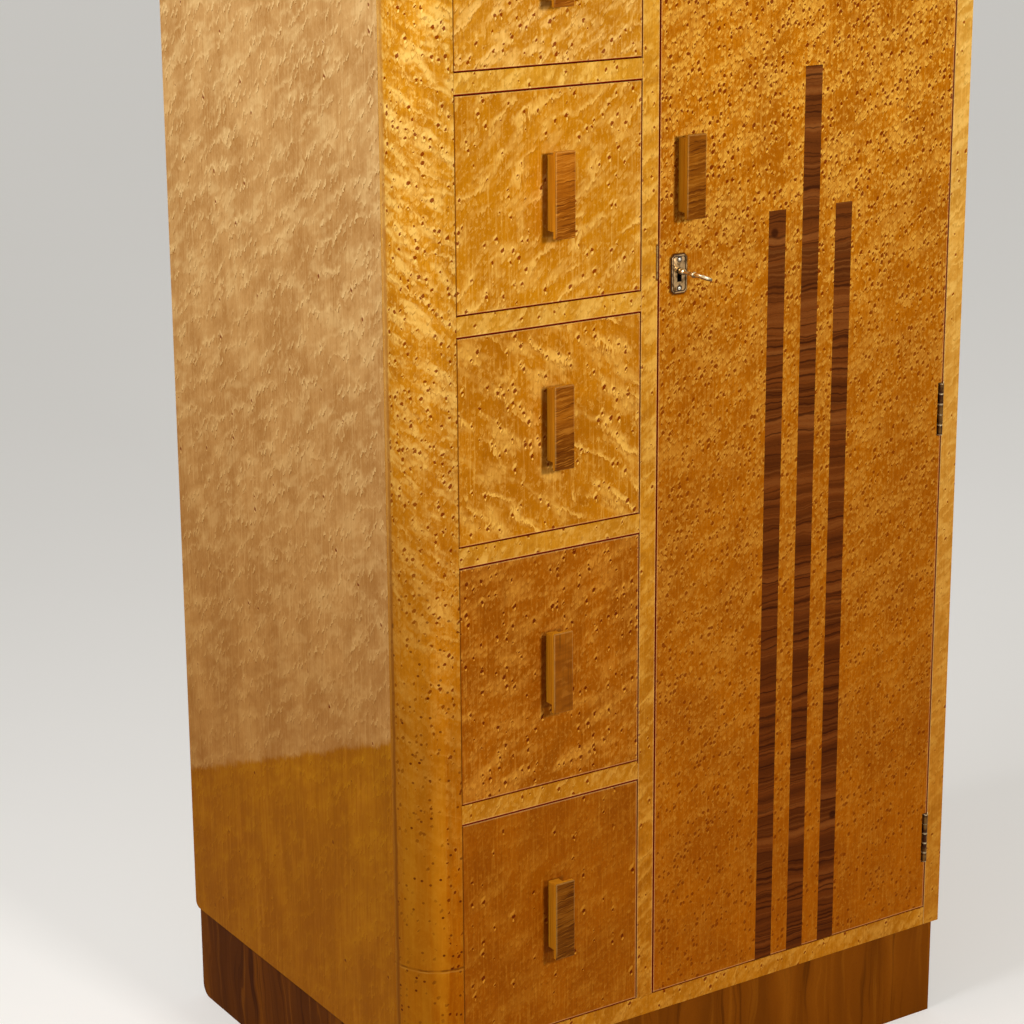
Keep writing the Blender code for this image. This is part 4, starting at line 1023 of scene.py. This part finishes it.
LEAF_SCREWS = ((0.0125, -0.0245), (0.009875, 0.0), (0.0125, 0.0245))
for end in ("upper", "middle", "lower"):
    low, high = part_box(f"hinge_{end}_door_leaf")
    knuckle = (high.z - low.z) / 5
    butt = butt_brass(end, low.z, knuckle)
    for kind, side, body, kept in (("carcass", 1, "carcass", (1, 3)), ("door", -1, "door", (0, 2, 4))):
        outer = HINGE_AXIS[0] + side * KNUCKLE_RADIUS
        inner = outer - side * LEAF_THICKNESS
        thin, thick = min(outer, inner), max(outer, inner)
        name = f"hinge_{end}_{kind}"
        shapes = [plate(name, (thin, LEAF_START, low.z), (thick, LEAF_END, high.z), 0)]
        for place in kept:
            start, stop = low.z + place * knuckle + KNUCKLE_GAP, low.z + (place + 1) * knuckle - KNUCKLE_GAP
            shapes.append(turned(name, barrel(start, stop), (*HINGE_AXIS, 0), "Z"))
            shapes.append(plate(name, (thin, HINGE_AXIS[1], start), (thick, LEAF_START + 0.001, stop), 0))
        piece(together(name + "_butt", shapes), body, "brass", butt, f"hinge_{end}_{kind}_leaf")
        places = [(inner, HINGE_AXIS[1] + back, (low.z + high.z) / 2 + rise) for back, rise in LEAF_SCREWS]
        piece(slotted_heads(name + "_screws", places, 0, -side), body, "brass", brass)

# The lock: a brass case let into the door's inner face and edge and held by four screws, its bolt, the brass
# strike let into the partition, and the clipped nickel escutcheon with its two pins.
PARTITION_FACE = -0.0660
STRIKE_THICKNESS = 0.0005
STRIKE = ((-0.2517, 0.9985), (-0.2318, 1.0425))
MORTISE = ((-0.24245, 1.0123), (-0.23405, 1.0287))
ESCUTCHEON_MIDDLE = KEY_AXIS[1] - PLATE_DROP
KEYHOLE_RADIUS = 0.0034
KEYHOLE_SLOT = 0.0027
KEYHOLE_FOOT = 0.0114
KEYHOLE_HEART = KEY_AXIS[1] - 0.0025
dress(brass, "lock_case", "lock_bolt")
case_low, case_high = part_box("lock_case")
CASE_SCREW_INSET = 0.0055
piece(slotted_heads("lock_case_screws",
                    [(x, case_high.y, z) for x in (case_low.x + CASE_SCREW_INSET, case_high.x - CASE_SCREW_INSET)
                     for z in (case_low.z + CASE_SCREW_INSET, case_high.z - CASE_SCREW_INSET)], 1, 1),
      "door", "brass", brass)


def rays_to(outline, heart, angles):
    """Where a ray from the heart at each angle crosses a closed outline.

    For each edge the ray's length is cross(start - heart, edge) / cross(ray, edge), and it counts where the
    crossing lies on the edge. The nearest such crossing is kept.
    """
    outline, heart = np.asarray(outline, float), np.asarray(heart, float)
    start, edge = outline - heart, np.roll(outline, -1, axis=0) - outline
    ray = np.stack([np.cos(angles), np.sin(angles)], -1)
    square = ray[:, None, 0] * edge[None, :, 1] - ray[:, None, 1] * edge[None, :, 0]
    square = np.where(abs(square) < 1e-12, 1e-12, square)
    length = (start[:, 0] * edge[:, 1] - start[:, 1] * edge[:, 0])[None] / square
    along = (start[None, :, 0] * ray[:, None, 1] - start[None, :, 1] * ray[:, None, 0]) / square
    hit = (along > -1e-6) & (along < 1 + 1e-6) & (length > 0)
    return heart + ray * np.where(hit, length, np.inf).min(axis=1)[:, None]


def clipped_plate(shrink):
    """The escutcheon's outline: a rectangle with its corners clipped, smaller by shrink all round."""
    half_width, half_height = PLATE_HALVES[0] - shrink, PLATE_HALVES[1] - shrink
    clip = PLATE_CLIP - 0.4 * shrink
    corners = [(half_width, half_height - clip), (half_width - clip, half_height)]
    corners += [(-x, z) for x, z in corners[::-1]]
    corners += [(-x, -z) for x, z in corners]
    return [(KEY_AXIS[0] + x, ESCUTCHEON_MIDDLE + z) for x, z in corners]


def keyhole(grow):
    """A round hole and the slot below it, wider by grow all round."""
    radius, half = KEYHOLE_RADIUS + grow, KEYHOLE_SLOT + grow
    spread = math.degrees(math.asin(half / radius))
    rim = arc_points(KEY_AXIS, radius, spread - 90, 270 - spread, 48)
    foot = KEY_AXIS[1] - KEYHOLE_FOOT - grow
    return np.vstack([rim, [(KEY_AXIS[0] - half, foot), (KEY_AXIS[0] + half, foot)]])


def framed_plate(name, steps, heart, axis, count=96):
    """A plate with a hole: rings of ray crossings with each outline at its depth, closed round from front to back."""
    corners = np.vstack([steps[0][0], steps[-1][0]]) - np.asarray(heart)
    angles = np.sort(np.concatenate([np.linspace(-np.pi, np.pi, count, endpoint=False),
                                     np.arctan2(corners[:, 1], corners[:, 0])]))
    rings = [np.insert(rays_to(outline, heart, angles), axis, depth, axis=1) for outline, depth in steps]
    return lofted(name, rings, round_again=True)


plate_low, plate_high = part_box("escutcheon")
PLATE_STEPS = ((clipped_plate(0), 1), (clipped_plate(0), 0.35), (clipped_plate(0.0006), 0),
               (clipped_plate(0.0019), 0), (clipped_plate(0.0022), 0.4), (clipped_plate(0.0027), 0.4),
               (clipped_plate(0.0032), 0.1), (keyhole(0.0004), 0.1), (keyhole(0), 0.4), (keyhole(0), 1))
escutcheon_steps = [(outline, plate_low.y + depth * (plate_high.y - plate_low.y)) for outline, depth in PLATE_STEPS]
PLATE_PIN_RISE = 0.0160
PLATE_PIN_RADIUS = 0.0022


def plate_nickel():
    """The plate's nickel: warm and patchily tarnished, with dirt in the groove inside its border and round the two
    pins, and painted shade along its outer edge and in and round the keyhole.
    """
    material, start = new_material("escutcheon_nickel")
    x, z = start.place()[::2]
    patches = cloud(x, z, 3.3, 0.0035, 0.0055, 3.0)
    colour = patches.step(0.40, 0.66).mix((0.60, 0.375, 0.168), (0.135, 0.066, 0.018))
    side, height = abs(x - KEY_AXIS[0]), abs(z - ESCUTCHEON_MIDDLE)
    inward = side.math("MINIMUM", PLATE_HALVES[0] - side, PLATE_HALVES[1] - height)
    inward = side.math("MINIMUM", inward, (sum(PLATE_HALVES) - PLATE_CLIP - side - height) * math.sqrt(0.5))
    # Dirt in the groove and round the pins; painted shade along the outer edge and in and round the keyhole.
    dirt_and_shade = (line_at(inward, 0.0024, 0.0007) + inward.step(0.0010, 0.0002) * 0.8
            + oval(side, height, (0, PLATE_PIN_RISE), (0.0046, 0.0046)) * 0.95
            + oval(side, z, (0, KEY_AXIS[1]), (0.0046, 0.0046))
            + side.step(0.0033, 0.0028) * abs(z - KEYHOLE_HEART + 0.0035).step(0.0062, 0.0056))
    colour = dirt_and_shade.step(0.0, 0.9).mix(colour, (0.026, 0.010, 0.003))
    return finish_with(material, patches, 0.10, 0.0002, Base_Color=colour, Metallic=1.0 - dirt_and_shade * 0.5,
                       Roughness=0.26 + dirt_and_shade.step(0.0, 1.0) * 0.3 + patches * 0.1)


piece(framed_plate("escutcheon_plate", escutcheon_steps, (KEY_AXIS[0], KEYHOLE_HEART), 1), "door", "nickel",
      plate_nickel(), "escutcheon")
pins("escutcheon_pins", [(KEY_AXIS[0], plate_low.y + 0.0003, ESCUTCHEON_MIDDLE + side * PLATE_PIN_RISE)
                         for side in (-1, 1)], "Y", -1, PLATE_PIN_RADIUS, 0.0016, "nickel", nickel, "door")

strike_outline, mortise_outline = ([low, (high[0], low[1]), high, (low[0], high[1])]
                                   for low, high in (STRIKE, MORTISE))
strike_steps = [(strike_outline, PARTITION_FACE), (strike_outline, PARTITION_FACE + STRIKE_THICKNESS),
                (mortise_outline, PARTITION_FACE + STRIKE_THICKNESS), (mortise_outline, PARTITION_FACE)]
piece(framed_plate("lock_strike", strike_steps, middle_of(*MORTISE)[0], 0, 48), "carcass", "brass", brass)
lip_brass = metal("lip_brass", (0.44, 0.27, 0.10), (0.14, 0.055, 0.015), 0.34)
piece(plate("lock_strike_lip", (PARTITION_FACE - 0.0022, FRONT_FACE - 0.0004, LIP_MIDDLE - LIP_HALF),
            (PARTITION_FACE - 0.0003, FRONT_FACE - 0.0001, LIP_MIDDLE + LIP_HALF), 1, 0.0001),
      "carcass", "brass", lip_brass)

# The key: a turned nickel-plated shank with a barrel against the plate and a bead half way, an oval bow, and a
# bit inside the lock. It stands a little past level, as it was left.
KEY_TILT = math.radians(24.0)
SHANK = 0.0021
KEY_PROFILE = ((-0.2351, 0.0019), (-0.2353, SHANK), (-0.2546, SHANK), (-0.2550, 0.0027), (-0.2554, 0.0032),
               (-0.2560, 0.0034), (-0.2615, 0.0034), (-0.2621, 0.0031), (-0.2624, 0.0024), (-0.2630, 0.0022),
               (-0.2700, 0.0020), (-0.2776, 0.0021), (-0.2779, 0.0028), (-0.2784, 0.0033), (-0.2794, 0.0035),
               (-0.2804, 0.0033), (-0.2809, 0.0028), (-0.2812, 0.0022), (-0.2840, 0.0023), (-0.2860, 0.0020))
KEY_BIT = ((0, -0.2415, -0.0011), (0.0070, -0.2359, 0.0011))
BOW_MIDDLE = (KEY_AXIS[0], -0.29575)
BOW_HALVES = (0.00825, 0.00945)
BOW_RIM = (0.0022, 0.0018)


def key_bow():
    """An oval ring: an ellipse of centres in the key's plane, each with an elliptical section square to it."""
    turn = np.linspace(0, 2 * np.pi, 56, endpoint=False)[:, None]
    section = np.linspace(0, 2 * np.pi, 14, endpoint=False)[None]
    across, length = BOW_HALVES
    outward = np.stack([length * np.cos(turn), across * np.sin(turn)])
    outward = outward / np.hypot(*outward)
    x = BOW_MIDDLE[0] + across * np.cos(turn) + outward[0] * BOW_RIM[0] * np.cos(section)
    y = BOW_MIDDLE[1] + length * np.sin(turn) + outward[1] * BOW_RIM[0] * np.cos(section)
    z = KEY_AXIS[1] + BOW_RIM[1] * np.sin(section) + 0 * turn
    return lofted("key_bow", np.stack([x, y, z], -1), round_again=True)


key_heart = Vector((KEY_AXIS[0], 0, KEY_AXIS[1]))
key = together("key_turned", [turned("shank", KEY_PROFILE, key_heart, "Y", 36), key_bow(),
                              plate("bit", *(key_heart + Vector(corner) for corner in KEY_BIT), 1)])
key.data.transform(Matrix.Translation(key_heart) @ Matrix.Rotation(KEY_TILT, 4, "Y")
                   @ Matrix.Translation(-key_heart))


def key_metal():
    """The key's nickel, cream and darker in patches, with painted shade in dark brown on its underside."""
    material, start = new_material("key_nickel")
    x, y, z = start.place()
    patches = cloud(x + y, z, 0.7, 0.004, 0.004, 3.0)
    # Painted shade on the underside, below the key's axis.
    underside_shade = (z - KEY_AXIS[1] + (patches - 0.5) * 0.001).step(-0.0001, -0.0012)
    colour = patches.step(0.40, 0.64).mix((0.95, 0.84, 0.58), (0.56, 0.38, 0.12))
    colour = (underside_shade * 0.88).mix(colour, (0.085, 0.035, 0.007))
    return finish_with(material, patches, 0.08, 0.0002, Base_Color=colour, Metallic=1.0 - underside_shade * 0.4,
                       Roughness=0.26 + underside_shade * 0.25 + patches * 0.1)


piece(key, "key", "nickel", key_metal(), "key")

# The hanging rail: a steel tube across the top of the hanging space, between two pressed flanges that are
# screwed to the partition and the side.
rail_low, rail_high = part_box("hanging_rail")
rail_middle = (0, (rail_low.y + rail_high.y) / 2, (rail_low.z + rail_high.z) / 2)
TUBE_RADIUS = 0.0110
FLANGE_DEPTH = 0.0065
FLANGE_FACE = 0.0021
FLANGE_SCREWS = 0.0162
FLANGE_STEPS = ((0.0, 0.0197), (0.0008, 0.0200), (0.0016, 0.0199), (0.0022, 0.0190), (0.0026, 0.0170),
                (0.0030, 0.0152), (0.0040, 0.0140), (0.0050, 0.0134), (0.0062, 0.0131), (0.0064, 0.0125))
rail_profile = [(rail_low.x + reach, radius) for reach, radius in FLANGE_STEPS]
rail_profile += [(rail_low.x + FLANGE_DEPTH, TUBE_RADIUS), (rail_high.x - FLANGE_DEPTH, TUBE_RADIUS)]
rail_profile += [(rail_high.x - reach, radius) for reach, radius in FLANGE_STEPS[::-1]]
piece(turned("hanging_rail_tube", rail_profile, rail_middle, "X", 64), "carcass", "steel", steel, "hanging_rail")
for end, x, toward in (("left", rail_low.x + FLANGE_FACE, 1), ("right", rail_high.x - FLANGE_FACE, -1)):
    places = [(x, rail_middle[1] + FLANGE_SCREWS * math.cos(turn), rail_middle[2] + FLANGE_SCREWS * math.sin(turn))
              for turn in (math.pi / 2, math.pi * 7 / 6, math.pi * 11 / 6)]
    piece(slotted_heads(f"hanging_rail_screws_{end}", places, 0, toward), "carcass", "steel", steel)

# The studio: a pale floor and backdrop, a small key lamp in front and a large soft one to the left. The camera
# stands where the photograph was taken from.
FLOOR_REACH = 60.0
FLOOR_TONE = (0.74, 0.73, 0.71)
FLOOR_LIFT = (0.29, 0.275, 0.245)
CAMERA_PLACE = (-1.7030, -2.4774, 1.5479)
CAMERA_YAW, CAMERA_PITCH, CAMERA_ROLL = 33.0312, 14.8187, -0.3657
CAMERA_LENS = 90.9381
CAMERA_SHIFT = -0.0703
AMBIENT = 0.36
BACKGROUND = 0.80


def seen_directly(start):
    """1 for what the camera sees, straight or in a reflection, and 0 for what only lights the wardrobe."""
    rays = start.add("LightPath", {}, {}, "Is Camera Ray")
    return rays + rays.also("Is Glossy Ray") + rays.also("Is Transmission Ray")


turn = np.linspace(0, 2 * np.pi, 96, endpoint=False)
floor_points = np.column_stack([FLOOR_REACH * np.cos(turn), FLOOR_REACH * np.sin(turn), np.zeros(len(turn))])
floor_mesh = bpy.data.meshes.new("floor")
floor_mesh.from_pydata(floor_points.tolist(), [], [list(range(len(turn)))])
floor = placed("floor", floor_mesh)
floor_paint, floor_start = new_material("pale_floor")
floor_cloud = cloud(*grained(floor_start, "Z")[::-1], 1.0, 0.6, 0.6, 3.0)
floor_mesh.materials.append(finish_with(
    floor_paint, Base_Color=floor_cloud.mix(FLOOR_TONE, scaled(FLOOR_TONE, 0.97)),
    Roughness=0.8, Specular_IOR_Level=0.1, Emission_Strength=1.0,
    Emission_Color=seen_directly(floor_start).mix((0.0, 0.0, 0.0), FLOOR_LIFT)))

world = bpy.data.worlds.new("studio")
world.use_nodes = True
bpy.context.scene.world = world
sky = Shade(world.node_tree)
backdrop = world.node_tree.nodes["Background"]
backdrop.inputs["Color"].default_value = (0.97, 0.98, 1.0, 1.0)
world.node_tree.links.new((AMBIENT + seen_directly(sky) * (BACKGROUND - AMBIENT)).output,
                          backdrop.inputs["Strength"])


def studio_lamp(name, place, aim, size, watts, tone, spread=180.0):
    """A square soft box at a place, turned to face the aim, whose light a grid keeps within this spread."""
    lamp = bpy.data.lights.new(name, "AREA")
    lamp.spread = math.radians(spread)
    lamp.shape, lamp.size, lamp.energy, lamp.color = "SQUARE", size, watts, tone
    made = placed(name, lamp)
    made.location = place
    made.rotation_euler = (Vector(aim) - Vector(place)).to_track_quat("-Z", "Y").to_euler()


studio_lamp("key_lamp", (-0.05, -2.60, 1.72), (0.0, -0.2, 0.9), 0.30, 39.0, (1.0, 0.98, 0.95))
studio_lamp("side_lamp", (-2.3, -0.1, 2.5), (-0.38, 0.0, 1.1), 1.4, 19.5, (0.98, 0.98, 1.0), 100.0)

yaw, pitch, roll = (math.radians(angle) for angle in (CAMERA_YAW, CAMERA_PITCH, CAMERA_ROLL))
forward = Vector((math.sin(yaw) * math.cos(pitch), math.cos(yaw) * math.cos(pitch), -math.sin(pitch)))
level_right = Vector((math.cos(yaw), -math.sin(yaw), 0))
level_up = level_right.cross(forward)
right = level_right * math.cos(roll) + level_up * math.sin(roll)
up = level_up * math.cos(roll) - level_right * math.sin(roll)
camera_data = bpy.data.cameras.new("photograph")
camera_data.lens, camera_data.sensor_width, camera_data.shift_y = CAMERA_LENS, 36.0, CAMERA_SHIFT
camera = placed("photograph", camera_data)
camera.matrix_world = Matrix.Translation(CAMERA_PLACE) @ Matrix((right, up, -forward)).transposed().to_4x4()
bpy.context.scene.camera = camera
bpy.context.scene.view_settings.view_transform = "Standard"
